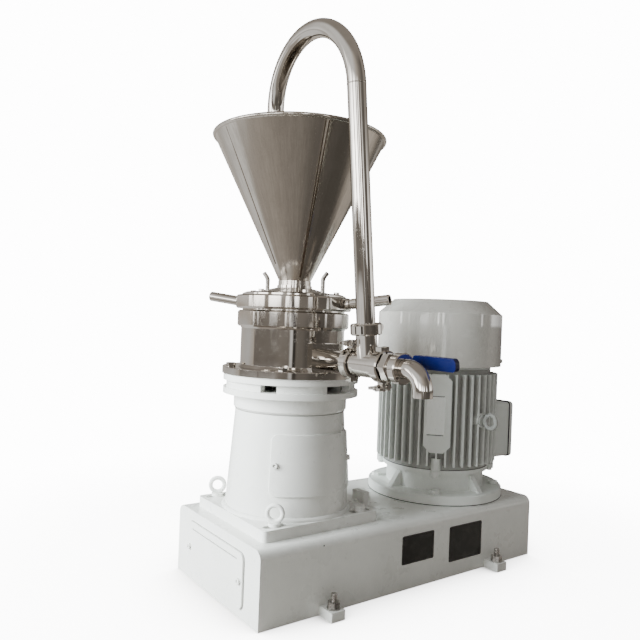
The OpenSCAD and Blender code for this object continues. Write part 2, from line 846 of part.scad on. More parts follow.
module spout_nut() {
  notch = 3;
  lip = 4;
  color("silver") at_outlet(spout_s) difference() {
    rotate_extrude() polygon([
      [union_r + seat_fit, 1 - union_in], [union_nut_r - 2, 1 - union_in], [union_nut_r, 3 - union_in],
      [union_nut_r, union_collar + lip - 2], [union_nut_r - 2, union_collar + lip],
      [spout_r + screw_fit, union_collar + lip], [spout_r + screw_fit, union_collar + seat_fit],
      [union_r + seat_fit, union_collar + seat_fit]
    ]);
    around(6, 0, union_nut_r) translate([0, 0, -2*union_in]) cylinder(d = notch, h = 4*union_in);
  }
}

// One half of a pipe clamp in the plane's upper side, with an ear at each end; ears towards +X
module clamp_half(r) {
  in_r = ferrule_r + seat_fit;
  rim = gasket_t/2 + ferrule_rim + seat_fit;
  split_a = asin((ear_gap/2)/clamp_r);
  difference() {
    union() {
      rotate(split_a) rotate_extrude(angle = 180 - 2*split_a) polygon([
        [in_r, -rim], [in_r, rim], [r + 2, clamp_half_w + 0.5], [clamp_r - 2, clamp_half_w + 0.5],
        [clamp_r, clamp_half_w - 1.5], [clamp_r, 1.5 - clamp_half_w],
        [clamp_r - 2, -clamp_half_w - 0.5], [r + 2, -clamp_half_w - 0.5]
      ]);
      translate([clamp_r - 3, ear_gap/2, -ear_w/2]) cube([clamp_bolt_r - clamp_r + 9, ear_t, ear_w]);
      translate([-clamp_r - 5, ear_gap/2, -ear_w/2]) cube([8, ear_t, ear_w]);
    }
    translate([clamp_bolt_r, -eps, 0]) rotate([-90, 0, 0]) cylinder(r = m_clamp/2 + screw_fit, h = 30);
    translate([0, 0, -20]) cylinder(r = in_r - 3.2, h = 40);
  }
}

// Places of the three clamps: each with its ears turned to where its wing nut is seen
module at_clamps() {
  at_outlet(clamp1_s) rotate(90) children();
  at_lean(clamp2_s) mirror([0, 1, 0]) rotate(90) children();
  at_lean(riser_s) translate([0, riser_clamp_up, 0]) rotate([-90, 0, 0]) rotate(20) children();
}

module clamp_bands() {
  color("silver") at_clamps() {
    clamp_half(tube_r);
    mirror([0, 1, 0]) clamp_half(tube_r);
    translate([-clamp_r - 3, -ear_gap/2 + 0.01, -ear_w/2]) cube([6, ear_gap - 0.02, ear_w]);
  }
}

module clamp_bolts() {
  l = ear_gap + 2*ear_t + 14;
  color("silver") at_clamps() translate([clamp_bolt_r, -ear_gap/2 - ear_t, 0]) rotate([90, 0, 0])
    hex_bolt(m_clamp, l);
}

module wing_nuts() {
  hub_r = 5.5;
  hub_h = 9;
  wing_r = 7;
  color("silver") at_clamps() translate([clamp_bolt_r, ear_gap/2 + ear_t, 0]) rotate([-90, 0, 0])
    difference() {
      union() {
        cylinder(r = hub_r, h = hub_h);
        for (s = [-1, 1]) translate([-2, s*(hub_r + wing_r - 3), wing_r + 1]) rotate([0, 90, 0])
          tube(wing_r, wing_r - 3, 4);
      }
      translate([0, 0, -eps]) cylinder(r = m_clamp/2 + screw_fit, h = hub_h + 2*wing_r);
    }
}

module pipe_gaskets() {
  color("white") at_clamps() translate([0, 0, -gasket_t/2])
    tube(ferrule_r - 0.5, tube_r - tube_wall, gasket_t);
}

// Half width of a belt, or of its groove with a gap, at a height over the pitch line
function belt_half_w(up, gap) = belt_top_w/2 + gap + (up - belt_up)*tan(belt_flank);

// A belt's section, or its groove's: radius across, width up, about the pitch radius
function belt_section(r, up, gap) = let(low = -belt_down - gap) [
    [r + low, -belt_half_w(low, gap)], [r + up, -belt_half_w(up, gap)],
    [r + up, belt_half_w(up, gap)], [r + low, belt_half_w(low, gap)]
  ];

module belt() {
  run = belt_c*cos(belt_a);
  translate([motor_x, 0, 0]) rotate(-90 - belt_a) rotate_extrude(angle = 180 + 2*belt_a)
    polygon(belt_section(motor_pulley_r, belt_up, 0));
  translate([mill_x, 0, 0]) rotate(90 + belt_a) rotate_extrude(angle = 180 - 2*belt_a)
    polygon(belt_section(mill_pulley_r, belt_up, 0));
  for (s = [0, 1]) mirror([0, s, 0]) translate([mill_x, 0, 0]) rotate(belt_a) rotate([90, 0, 90])
    linear_extrude(run) polygon(belt_section(mill_pulley_r, belt_up, 0));
}

module drive_belts() {
  color("black") for (i = [0:belt_n - 1])
    translate([0, 0, belt_z + (i - (belt_n - 1)/2)*belt_pitch]) belt();
}

// Grooved pulley with a hub bore, about the belts' middle
module pulley(r, bore) {
  translate([0, 0, pulley_z]) difference() {
    cylinder(r = r + belt_up + 1, h = pulley_w);
    translate([0, 0, -eps]) cylinder(r = bore + seat_fit, h = pulley_w + 2*eps);
    for (i = [0:belt_n - 1]) translate([0, 0, pulley_w/2 + (i - (belt_n - 1)/2)*belt_pitch])
      rotate_extrude() polygon(belt_section(r, belt_up + 2, belt_gap));
  }
}

module mill_pulley() {
  color("dimgray") at_mill(0) pulley(mill_pulley_r, pulley_seat_r);
}

module motor_pulley() {
  web_in = 15;
  color("dimgray") at_motor(0) difference() {
    pulley(motor_pulley_r, motor_shaft_r);
    for (z = [pulley_z - eps, pulley_z + pulley_w - web_in]) translate([0, 0, z])
      tube(motor_pulley_r - belt_down - 8, motor_shaft_r + 14, web_in + eps);
  }
}

module motor_flange() {
  rib_t = 12;
  rib_h = 0.7*bell_h;
  rib_in = 4;
  web = 10;
  color("lightgray") difference() {
    union() {
      at_motor(0) rotate_extrude() polygon([
        [0, base_h - spigot_h], [spigot_r, base_h - spigot_h], [spigot_r, base_h],
        [motor_flange_r, base_h], [motor_flange_r, z_bell - 2], [motor_flange_r - 2, z_bell],
        [bell_r, z_bell], [bell_r, z_frame - web], [frame_r, z_frame - web], [frame_r, z_frame], [0, z_frame]
      ]);
      at_motor(z_bell - eps) around(4, 0, bell_r - rib_in) rotate([90, 0, 0]) translate([0, 0, -rib_t/2])
        linear_extrude(rib_t)
          polygon([[0, 0], [motor_flange_r - bell_r - 2*rib_in, 0], [rib_in + 3, rib_h], [0, rib_h]]);
      at_motor(z_frame - tie_web) around(4, 45, tie_r) cylinder(r = 1.3*m_tie, h = tie_web - tie_seam);
    }
    at_motor(0) rotate_extrude() polygon([
      [hub_r, z_bell + 2], [bell_r - web, z_bell + 6], [bell_r - web, z_frame - web],
      [motor_bore_r - 4, z_frame + eps], [0, z_frame + eps], [0, z_bell + motor_bearing_b],
      [hub_r, z_bell + motor_bearing_b]
    ]);
    at_motor(z_motor_low_bearing)
      cylinder(r = motor_bearing_r + seat_fit, h = motor_flange_t + motor_bearing_b);
    at_motor(base_h - spigot_h - eps) cylinder(r = motor_journal_r + 1, h = motor_flange_t);
    at_motor(z_bell) around(4, 45, motor_bolt_r) screw_hole(m_motor, motor_flange_t + eps);
    at_motor(z_frame + eps) around(4, 45, tie_r) screw_hole(m_tie, tie_web + 2*eps);
    at_motor(z_frame - tie_web - m_tie) around(4, 45, tie_r) cylinder(r = m_tie, h = m_tie);
  }
}

module motor_flange_bolts() {
  color("lightgray") at_motor(z_bell) around(4, 45, motor_bolt_r)
    hex_bolt(m_motor, motor_flange_t + base_top_t + 3);
}

module motor_tie_bolts() {
  color("lightgray") at_motor(z_frame - tie_web) around(4, 45, tie_r) rotate([180, 0, 0])
    hex_bolt(m_tie, tie_web + 18);
}

module motor_frame() {
  fin_t = 3.4;
  ring_low = 10;
  pad_w = 56;
  pad_h = 166;
  pad_cut = 14;
  pad_z = z_frame + 122;
  box_pad_w = box_w - 14;
  tie_h = 26;
  color("lightgray") difference() {
    union() {
      at_motor(z_frame) cylinder(r = frame_r, h = frame_h);
      at_motor(z_frame + ring_low) linear_extrude(frame_h - 2*ring_low)
        around(fin_n, 180/fin_n, frame_r - 2) translate([0, -fin_t/2]) square([fin_r - frame_r + 2, fin_t]);
      at_motor(z_frame) around(4, 45, tie_r) cylinder(r = 1.3*m_tie, h = tie_h);
      at_motor(pad_z) rotate(plate_az) translate([frame_r - 8, 0, 0]) rotate([90, 0, 90])
        linear_extrude(fin_r - frame_r + 8) cut_rect(pad_w, pad_h, pad_cut);
      at_motor(box_z - box_h/2 + 4) translate([frame_r - 12, -box_pad_w/2, 0])
        cube([box_in - frame_r + 12, box_pad_w, box_h - 8]);
      at_motor(eye_z) rotate(eye_az) translate([frame_r - 6, 0, 0]) rotate([0, 90, 0])
        cylinder(r = 15, h = fin_r - frame_r + 6);
    }
    at_motor(z_frame - eps) cylinder(r = motor_bore_r, h = frame_h + 2*eps);
    at_motor(z_frame + tie_h - 6) around(4, 45, tie_r) screw_hole(m_tie, tie_h);
    at_motor(eye_z) rotate(eye_az) translate([fin_r, 0, 0]) rotate([0, 90, 0]) screw_hole(m_motor, 16);
    at_motor(box_z) translate([box_in - 30, 0, 0]) rotate([0, 90, 0]) cylinder(r = 20, h = 40);
  }
}

module motor_eyebolt() {
  color("lightgray") at_motor(eye_z) rotate(eye_az) translate([fin_r, 0, 0]) rotate([0, 90, 0])
    eyebolt(14, 4.5, 13, m_motor, 14);
}

module motor_stator() {
  coil_h = 26;
  color("sienna") at_motor(z_core) {
    tube(motor_bore_r - seat_fit, core_r + air_gap, core_h);
    for (z = [-coil_h, core_h]) translate([0, 0, z]) tube(motor_bore_r - 12, core_r + 8, coil_h);
  }
}

module motor_rear_bracket() {
  arm_w = 22;
  lift = z_cowl - z_frame_top + 4;
  color("lightgray") difference() {
    union() {
      at_motor(z_frame_top) cylinder(r = frame_r, h = bracket_t);
      at_motor(z_motor_high_bearing - 12) cylinder(r = hub_r, h = bracket_t + motor_bearing_b + 6);
      at_motor(z_frame_top - 8) cylinder(r = motor_bore_r - seat_fit, h = 8 + eps);
      at_motor(z_frame_top + lift) around(4, 45, frame_r - 20) translate([0, -arm_w/2, 0])
        intersection() {
          cube([60, arm_w, cowl_arm_h]);
          translate([20 - frame_r, arm_w/2, 0]) cylinder(r = cowl_r - cowl_wall - 0.2, h = cowl_arm_h);
        }
      at_motor(z_frame_top + bracket_t - eps) around(4, 45, frame_r - 11)
        translate([-9, -arm_w/2, 0]) cube([18, arm_w, lift]);
    }
    at_motor(z_motor_high_bearing - 20) cylinder(r = motor_journal_r + 1, h = 80);
    at_motor(z_motor_high_bearing - 20) cylinder(r = motor_bearing_r + seat_fit, h = motor_bearing_b + 20);
    at_cowl_screws() screw_hole(m_small, 16);
  }
}

// Places of the cowl's screws, looking out from the motor axis
module at_cowl_screws() {
  at_motor(z_cowl + 4 + cowl_arm_h/2) around(4, 45, cowl_r) rotate([0, 90, 0]) children();
}

module fan_cowl() {
  grille_w = 5;
  color("whitesmoke") difference() {
    at_motor(0) rotate_extrude() polygon([
      [cowl_r - cowl_wall, z_cowl], [cowl_r, z_cowl], [cowl_r, z_cowl + cowl_h],
      [cowl_top_r, z_cowl_top], [0, z_cowl_top], [0, z_cowl_top - cowl_wall],
      [cowl_top_r - 1, z_cowl_top - cowl_wall], [cowl_r - cowl_wall, z_cowl + cowl_h - 1]
    ]);
    for (k = [0:3]) at_motor(z_cowl_top - 2*cowl_wall) around(6, 30*(k % 2), 0)
      rotate_extrude(angle = 48) translate([28 + 18*k, 0]) square([grille_w, 4*cowl_wall]);
    at_cowl_screws() screw_hole(m_small, 16);
  }
}

module terminal_box() {
  wall = 5;
  l = box_reach - lid_t - box_in;
  color("lightgray") at_motor(box_z) difference() {
    translate([box_in, 0, 0]) rotate([90, 0, 90]) linear_extrude(l) rounded_rect(box_w, box_h, 8);
    translate([box_in + wall, 0, 0]) rotate([90, 0, 90]) linear_extrude(l)
      rounded_rect(box_w - 2*wall, box_h - 2*wall, 5);
    translate([box_in - eps, 0, 0]) rotate([0, 90, 0]) cylinder(r = 20, h = 2*wall);
    translate([box_in + l/2 + 2, box_w/2 - 2*wall, 0]) rotate([-90, 0, 0])
      cylinder(r = gland_r - 3 + seat_fit, h = 4*wall);
  }
}

module terminal_lid() {
  color("gray") at_motor(box_z) difference() {
    translate([box_reach - lid_t, 0, 0]) rotate([90, 0, 90]) linear_extrude(lid_t)
      rounded_rect(box_w + 4, box_h + 4, 10);
    translate([box_reach - lid_t - eps, 0, 0]) rotate([90, 0, 90]) linear_extrude(lid_t - 4 + eps)
      rounded_rect(box_w - 10, box_h - 10, 5);
  }
}

module cable_gland() {
  l = box_reach - lid_t - box_in;
  color("dimgray") at_motor(box_z) translate([box_in + l/2 + 2, box_w/2, 0]) rotate([-90, 0, 0])
  difference() {
    union() {
      hex(2*gland_r, 9);
      translate([0, 0, 9 - eps]) cylinder(r = gland_r - 1.5, h = 12);
      translate([0, 0, -8]) cylinder(r = gland_r - 3, h = 8 + eps);
    }
    translate([0, 0, -10]) cylinder(r = gland_bore_r, h = 40);
  }
}

module motor_bearings() {
  color("silver") for (z = [z_motor_low_bearing, z_motor_high_bearing])
    at_motor(z) bearing(motor_bearing_r, motor_journal_r + shaft_fit, motor_bearing_b);
}

module motor_shaft() {
  color("silver") at_motor(0) rotate_extrude() polygon([
    [0, pulley_z], [motor_shaft_r, pulley_z], [motor_shaft_r, z_motor_low_bearing - 6],
    [motor_journal_r, z_motor_low_bearing - 6], [motor_journal_r, z_core - 30],
    [motor_journal_r + 4, z_core - 30], [motor_journal_r + 4, z_core + core_h + 6],
    [motor_journal_r, z_core + core_h + 6], [motor_journal_r, z_motor_high_bearing + motor_bearing_b + 2],
    [14, z_motor_high_bearing + motor_bearing_b + 2], [14, z_fan + fan_h], [0, z_fan + fan_h]
  ]);
}

module rotor_core() {
  color("slategray") at_motor(z_core) tube(core_r, motor_journal_r + 4 + seat_fit, core_h);
}

module cooling_fan() {
  blade_t = 3;
  color("dimgray") at_motor(z_fan) difference() {
    union() {
      cylinder(r = 26, h = fan_h - 2);
      translate([0, 0, 4]) cylinder(r = fan_r, h = 3);
      around(fan_n, 0, 20) translate([0, -blade_t/2, 4]) cube([fan_r - 20, blade_t, fan_h - 4]);
    }
    translate([0, 0, -eps]) cylinder(r = 14 + seat_fit, h = 2*fan_h);
  }
}

module mill_shaft() {
  color("silver") at_mill(0) rotate_extrude() polygon([
    [0, pulley_z], [pulley_seat_r, pulley_z], [pulley_seat_r, z_lower_bearing - 1],
    [journal_r, z_lower_bearing - 1], [journal_r, z_lower_bearing + bearing_b],
    [shaft_mid_r, z_lower_bearing + bearing_b + 1], [shaft_mid_r, z_upper_bearing - 1],
    [journal_r, z_upper_bearing], [journal_r, z_upper_bearing + bearing_b + 1],
    [shaft_top_r, z_upper_bearing + bearing_b + 1], [shaft_top_r, z_rotor - vane_h],
    [18, z_rotor - vane_h], [18, z_rotor + rotor_h], [8, z_rotor + rotor_h],
    [8, z_rotor + rotor_h + 14], [0, z_rotor + rotor_h + 14]
  ]);
}

// A row of skewed tooth slots on a cone; inward cuts from inside when in = -1
module tooth_slots(n, r_mid, z_mid, l, w) {
  for (i = [0:n - 1]) rotate(360*i/n) translate([r_mid, 0, z_mid]) rotate([0, -rotor_slope, 0])
    rotate([tooth_skew, 0, 0]) cube([2*tooth_depth, w, l], center = true);
}

module grinding_rotor() {
  mid_r = (rotor_r0 + rotor_r1)/2;
  color("lightslategray") at_mill(z_rotor) difference() {
    union() {
      cylinder(r1 = rotor_r0, r2 = rotor_r1, h = rotor_h);
      translate([0, 0, -vane_h]) cylinder(r = 30, h = vane_h + eps);
      around(vane_n, 0, 26) translate([0, -2.5, -vane_h + 4]) cube([rotor_r0 - 30, 5, vane_h - 4 + eps]);
    }
    translate([0, 0, -vane_h - eps]) cylinder(r = 18 + seat_fit, h = rotor_h + vane_h + 2*eps);
    tooth_slots(rotor_teeth, mid_r, rotor_h/2, 1.3*rotor_h, tooth_slot);
  }
}

module rotor_cap() {
  color("lightslategray") at_mill(z_rotor + rotor_h) difference() {
    rotate_extrude() polygon([[0, 0], [24, 0], [24, 5], [14, 22], [0, 22]]);
    translate([0, 0, -eps]) cylinder(r = 8 + seat_fit, h = 15);
  }
}

module seal_ring() {
  h = z_rotor - vane_h - (z_seat + floor_t + 2) - 0.3;
  color("dimgray") at_mill(z_seat + floor_t + 2.3) tube(seal_seat_in, shaft_top_r + seat_fit, h);
}

module stator_carrier() {
  low = 2;
  color("lightsteelblue") at_mill(z_stator + low) difference() {
    cylinder(r = carrier_r, h = z_cover - z_stator - low);
    translate([0, 0, -eps]) cylinder(r = stator_r + seat_fit, h = z_web - z_stator - low + eps);
    cylinder(r = throat_r + 8, h = z_cover);
    translate([0, 0, z_cover - z_stator - low]) around(6, 10, 84) screw_hole(m_cover, 14);
  }
}

module grinding_stator() {
  h = z_web - z_stator;
  shift = mill_gap/cos(rotor_slope);
  drop = 1;
  low_r = rotor_r0 + shift - drop*tan(rotor_slope);
  top_r = low_r - h*tan(rotor_slope);
  color("lightslategray") at_mill(z_stator) difference() {
    cylinder(r = stator_r, h = h);
    translate([0, 0, -eps])
      cylinder(r1 = low_r + eps*tan(rotor_slope), r2 = top_r - eps*tan(rotor_slope), h = h + 2*eps);
    tooth_slots(stator_teeth, (low_r + top_r)/2, h/2, 2*h, tooth_slot);
  }
}

module top_cover() {
  z1 = cover_edge_t;
  z2 = z1 + cover_rise;
  color("lightsteelblue") at_mill(z_cover) difference() {
    rotate_extrude() polygon([
      [0, 0], [cover_r, 0], [cover_r, cover_lip_t], [cover_flat_r, z1], [dome_r, z1],
      [neck_r + 6, z2], [neck_r + 3, z2],
      [neck_r + 3, z2 + cover_boss_h], [0, z2 + cover_boss_h]
    ]);
    translate([0, 0, -eps]) cylinder(r = throat_r, h = 40);
    translate([0, 0, z1]) around(6, 10, cover_bolt_r) screw_hole(m_cover, z1 + eps);
    around(2, handle_az, hook_r) translate([0, 0, -eps]) cylinder(r = hook_hole_r, h = 30);
  }
}

module top_cover_screws() {
  color("silver") at_mill(z_cover + cover_edge_t) around(6, 10, cover_bolt_r)
    socket_screw(m_cover, cover_edge_t + 12);
}

module cover_hooks() {
  rod = 4.2;
  over = 1.5;
  bend = 14;
  bend_a = 40;
  up = 30;
  tip = 9;
  color("dimgray") at_mill(z_cover) around(2, handle_az, hook_r) {
    cylinder(r = rod, h = up + over);
    translate([bend, 0, up]) rotate([90, 0, 0]) rotate(180 - bend_a) rotate_extrude(angle = bend_a)
      translate([bend, 0]) circle(rod + 0.15);
    translate([bend - bend*cos(bend_a), 0, up + bend*sin(bend_a)]) rotate([0, bend_a, 0])
      translate([0, 0, -over]) cylinder(r = rod, h = tip + over);
  }
}

module hopper() {
  rim = 4;
  neck_step = 1;
  slope = (hopper_r - rim - neck_r)/hopper_h;
  tilt_t = hopper_wall*sqrt(1 + slope*slope);
  top_r = hopper_r - rim + tilt_t/2;
  color("silver") at_mill(0) {
    rotate_extrude() polygon([
      [neck_r - tilt_t, z_neck], [neck_r + neck_step, z_neck], [neck_r + neck_step, z_hopper],
      [neck_r, z_hopper], [top_r, z_rim], [top_r - tilt_t, z_rim], [neck_r - tilt_t, z_hopper]
    ]);
    translate([0, 0, z_rim]) rotate_extrude() translate([hopper_r - rim, 0]) circle(rim);
  }
}

// Places of the two handles: Z runs out along a handle from the mill axis
module at_handles(r) {
  at_mill(z_ring + ring_h/2) around(2, handle_az, ring_r) rotate([0, 90 - handle_tilt, 0])
    translate([0, 0, r - ring_r]) children();
}

rod_r = 6;
boss_len = 8;

module adjusting_ring() {
  foot = 0.3;
  chamfer = 3;
  color("lightsteelblue") difference() {
    at_mill(0) rotate_extrude() polygon([
      [ring_bore_r, z_top + foot], [ring_bore_r + 6, z_top + foot], [ring_bore_r + 6, z_ring],
      [ring_r - chamfer, z_ring], [ring_r, z_ring + chamfer], [ring_r, z_ring_top - chamfer],
      [ring_r - chamfer, z_ring_top], [ring_bore_r, z_ring_top]
    ]);
    at_handles(ring_r - 12) cylinder(r = rod_r + seat_fit, h = 40);
  }
}

module handle_rods() {
  color("silver") at_handles(ring_r - 11) {
    cylinder(r = rod_r, h = 50);
    translate([0, 0, 12.5]) cylinder(r = rod_r + 3, h = boss_len);
  }
}

module handle_grips() {
  start = ring_r + 12;
  color("silver") at_handles(start) tube(grip_d/2, rod_r + seat_fit, handle_reach - start);
}

module valve_ball() {
  color("silver") at_lean(riser_s) difference() {
    union() {
      sphere(ball_r);
      rotate([0, 90, 0]) cylinder(r = stem_r, h = stem_out);
    }
    translate([0, 0, -ball_r]) cylinder(r = port_r, h = 2*ball_r);
    rotate([90, 0, 0]) cylinder(r = port_r, h = ball_r);
  }
}

// Places a drawing in the lever's plane: X up, Y forward along the spout
module at_lever(x) {
  at_lean(riser_s) translate([x, 0, 0]) rotate([90, 0, 90]) children();
}

// The lever's bar: a round eye on the stem and a cranked flat out to the grip
module lever_bar(t, grow) {
  crank = 34;
  half = lever_w/2 + grow;
  cylinder(r = lever_eye_r, h = t);
  linear_extrude(t) polygon([
    [-half, 2], [lever_rise - half, crank], [lever_rise - half, lever_l + grow],
    [lever_rise + half, lever_l + grow], [lever_rise + half, crank], [half, 2]
  ]);
}

module valve_lever() {
  color("silver") at_lever(lever_x) difference() {
    lever_bar(lever_t, 0);
    translate([0, 0, -eps]) cylinder(r = stem_r + seat_fit, h = lever_t + 2*eps);
  }
}

module lever_grip() {
  side = (lever_grip_t - lever_t)/2;
  over = 4;
  color("mediumblue") difference() {
    at_lever(lever_x - side) translate([lever_rise, lever_l + over - lever_grip_l/2, 0])
      linear_extrude(lever_grip_t) rounded_rect(lever_grip_w, lever_grip_l, 8);
    at_lever(lever_x - seat_fit) lever_bar(lever_t + 2*seat_fit, seat_fit);
  }
}

base_frame();
hold_down_studs();
hold_down_nuts();
end_cover();
cover_screws();
jack_screws();
column();
inspection_cover();
column_eyebolts();
column_bolts();
seat_ring();
mill_bearings();
bearing_caps();
seal_seat();
mill_housing();
housing_bolts();
outlet_pipe();
valve_body();
return_pipe();
outlet_adapter();
spout();
spout_nut();
clamp_bands();
clamp_bolts();
wing_nuts();
pipe_gaskets();
drive_belts();
motor_flange();
motor_frame();
motor_rear_bracket();
fan_cowl();
terminal_box();
terminal_lid();
cable_gland();
motor_eyebolt();
motor_flange_bolts();
motor_tie_bolts();
motor_bearings();
motor_stator();
stator_carrier();
grinding_stator();
top_cover();
top_cover_screws();
cover_hooks();
hopper();
adjusting_ring();
handle_rods();
handle_grips();
mill_shaft();
grinding_rotor();
rotor_cap();
seal_ring();
mill_pulley();
motor_shaft();
rotor_core();
cooling_fan();
motor_pulley();
valve_ball();
valve_lever();
lever_grip();
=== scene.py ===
import json
import math

import bmesh
import bpy
import numpy as np
from mathutils import Matrix

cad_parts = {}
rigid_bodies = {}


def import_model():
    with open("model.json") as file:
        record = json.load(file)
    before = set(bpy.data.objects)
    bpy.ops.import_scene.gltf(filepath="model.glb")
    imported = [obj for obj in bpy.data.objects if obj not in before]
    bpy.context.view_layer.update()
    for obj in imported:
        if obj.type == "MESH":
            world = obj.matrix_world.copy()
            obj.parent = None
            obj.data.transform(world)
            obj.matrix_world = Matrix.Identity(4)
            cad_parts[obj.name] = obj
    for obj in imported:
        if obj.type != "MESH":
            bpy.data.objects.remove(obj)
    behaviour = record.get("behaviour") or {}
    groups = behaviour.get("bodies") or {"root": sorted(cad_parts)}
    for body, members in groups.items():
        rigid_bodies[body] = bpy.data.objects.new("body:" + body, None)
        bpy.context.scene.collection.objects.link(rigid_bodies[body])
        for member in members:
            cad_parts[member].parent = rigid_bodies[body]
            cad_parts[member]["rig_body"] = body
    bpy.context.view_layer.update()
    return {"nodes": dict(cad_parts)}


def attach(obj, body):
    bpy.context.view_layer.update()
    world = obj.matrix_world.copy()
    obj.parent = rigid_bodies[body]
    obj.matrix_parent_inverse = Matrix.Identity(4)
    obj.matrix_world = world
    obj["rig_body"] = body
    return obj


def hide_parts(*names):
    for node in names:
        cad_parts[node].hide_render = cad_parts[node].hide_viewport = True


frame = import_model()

solids = frame["nodes"]

# --- Camera -------------------------------------------------------------------------------------
# The photograph's own view: a wide lens close to the mill, left of its front and level with the
# milling head. The picture leans a little, so the camera is rolled by the same angle.
CAMERA_AT = np.array([-0.88835, -1.03885, 0.50619])
CAMERA_YAW, CAMERA_PITCH, CAMERA_ROLL = np.radians([35.91, 0.03, 2.18])
CAMERA_LENS, CAMERA_SENSOR = 36.08, 36.0

ahead = np.array([
    math.sin(CAMERA_YAW) * math.cos(CAMERA_PITCH),
    math.cos(CAMERA_YAW) * math.cos(CAMERA_PITCH),
    math.sin(CAMERA_PITCH),
])
level_right = np.array([math.cos(CAMERA_YAW), -math.sin(CAMERA_YAW), 0.0])
level_up = np.cross(level_right, ahead)
camera_right = math.cos(CAMERA_ROLL) * level_right + math.sin(CAMERA_ROLL) * level_up
camera_up = math.cos(CAMERA_ROLL) * level_up - math.sin(CAMERA_ROLL) * level_right
camera = bpy.data.objects.new("photo_camera", bpy.data.cameras.new("photo_camera"))
camera.data.lens = CAMERA_LENS
camera.data.sensor_width = CAMERA_SENSOR
pose = np.eye(4)
pose[:3, 0], pose[:3, 1], pose[:3, 2], pose[:3, 3] = camera_right, camera_up, -ahead, CAMERA_AT
camera.matrix_world = Matrix(pose.tolist())
bpy.context.scene.collection.objects.link(camera)
bpy.context.scene.camera = camera

# --- Light and floor ----------------------------------------------------------------------------
# A plain white studio: a soft dome that is brighter on the left, one large softbox there, and a pale
# floor that fades out. Polished steel mirrors a made-up hall instead, in bands one above the other:
# brown floor, the feet of the windows, the tall bright windows, the wall above them and the roof.
DOME_KEY, DOME_SPAN = (-0.88, -0.16, 0.45), (-0.7, 1.0)
DOME_LOW, DOME_HIGH, DOME_TINT = 0.15, 0.56, (1.0, 0.985, 0.95, 1.0)
BACKDROP, PURE_WHITE = 14.0, (1.0, 1.0, 1.0, 1.0)
# How far a direction rises, from -1 to 1, where one band of the hall passes into the next
NEAR_FLOOR, FAR_FLOOR = (-0.42, -0.28), (-0.12, -0.075)
WINDOW_FOOT, WINDOW_SILL, WINDOW_TOP = (-0.002, 0.003), (0.025, 0.032), (0.07, 0.38)
ROOF_FROM, ROOF_TONE = (0.62, 0.85), (0.038, 0.034, 0.030, 1.0)
# Direction round the hall in degrees from +X, with the brightness of the band there
HALL_WALL = [
    (0, 0.62), (34, 0.20), (50, 0.20), (64, 0.62), (118, 1.10), (134, 1.10), (136.5, 0.25),
    (139, 6.5), (146, 6.5), (147.5, 0.30), (151, 0.30), (152.5, 8.5), (176, 8.5), (178, 0.56),
    (186, 0.52), (188, 8.5), (210, 8.5), (212, 0.80), (221, 0.66), (222.5, 7.5), (227, 7.5),
    (228.5, 0.24), (237.5, 0.22), (239, 7.0), (244.5, 7.0), (247, 0.22), (263, 0.20), (265, 2.4),
    (275, 2.0), (278, 0.14), (310, 0.15), (314, 2.6),
]
HALL_FOOT = [
    (0, 0.80), (40, 0.50), (134, 0.66), (147, 0.66), (148.2, 5.2), (149.6, 5.2), (151, 0.30),
    (157.5, 0.30), (159, 2.2), (161, 2.2), (163, 0.30), (186.5, 0.34), (189, 1.5), (203, 1.5),
    (205, 0.34), (219.8, 0.34), (221, 4.4), (222, 4.4), (223.2, 0.36), (228.6, 0.40), (229.6, 3.6),
    (231, 3.6), (232.4, 0.05), (239, 0.04), (241, 0.28), (266, 0.24), (303, 0.15), (304.5, 2.4),
    (306.5, 2.4), (308.5, 0.18), (327, 0.22), (334, 2.2),
]
HALL_FLOOR = [
    (0, 0.10), (46, 0.16), (60, 0.62), (126, 0.70), (143, 0.62), (146, 0.22), (196, 0.22),
    (212, 0.27), (230, 0.24), (232.5, 0.90), (236, 0.90), (238, 0.05), (242, 0.05), (245, 0.20),
    (258, 0.18), (266, 0.12), (292, 0.09), (322, 0.14), (326, 0.24), (346, 0.22),
]
HALL_AISLE = [
    (0, 0.50), (40, 0.50), (60, 0.62), (109, 0.90), (140, 1.00), (144, 0.45), (148, 1.00),
    (176, 1.05), (180, 0.50), (184, 1.00), (208, 1.00), (216, 0.30), (231, 0.14), (312, 0.12),
    (320, 0.68), (345, 0.68),
]
HALL_NEAR = [
    (0, 0.08), (40, 0.20), (66, 0.62), (94, 0.95), (126, 0.95), (133, 0.45), (186, 0.40),
    (204, 0.34), (236, 0.28), (262, 0.16), (300, 0.10), (340, 0.09),
]
HALL_HIGH = [
    (0, 0.22), (30, 0.16), (70, 0.20), (110, 0.40), (136, 0.95), (200, 0.95), (232, 0.60),
    (262, 0.30), (300, 0.14), (330, 0.40),
]
BRIGHTEST, DIM_BELOW = 9.0, 0.7
BROWN, WHITE = np.array([1.0, 0.90, 0.79]), np.array([1.0, 0.985, 0.96])
SOFTBOX_AT, SOFTBOX_AIM = (-2.0, 0.45, 0.90), (-0.1, 0.0, 0.35)
SOFTBOX_SIZE, SOFTBOX_WATTS, SOFTBOX_TINT = 1.3, 222.0, (0.91, 0.975, 1.0)
FLOOR_HALF, FLOOR_FADE, FLOOR_TONE = 2.4, (0.55, 1.25), (0.40, 0.375, 0.345, 1.0)
SHADE_REACH, SHADE_SPAN, FLOOR_GLOW = 0.22, (0.25, 1.0), (0.6, 10.0)


def add(tree, kind, inputs=None, **settings):
    """A new shader node with its settings and inputs; an input that is a socket is linked."""
    new = tree.nodes.new(kind)
    for key, value in settings.items():
        setattr(new, key, value)
    for key, value in (inputs or {}).items():
        if isinstance(value, bpy.types.NodeSocket):
            tree.links.new(value, new.inputs[key])
        else:
            new.inputs[key].default_value = value
    return new


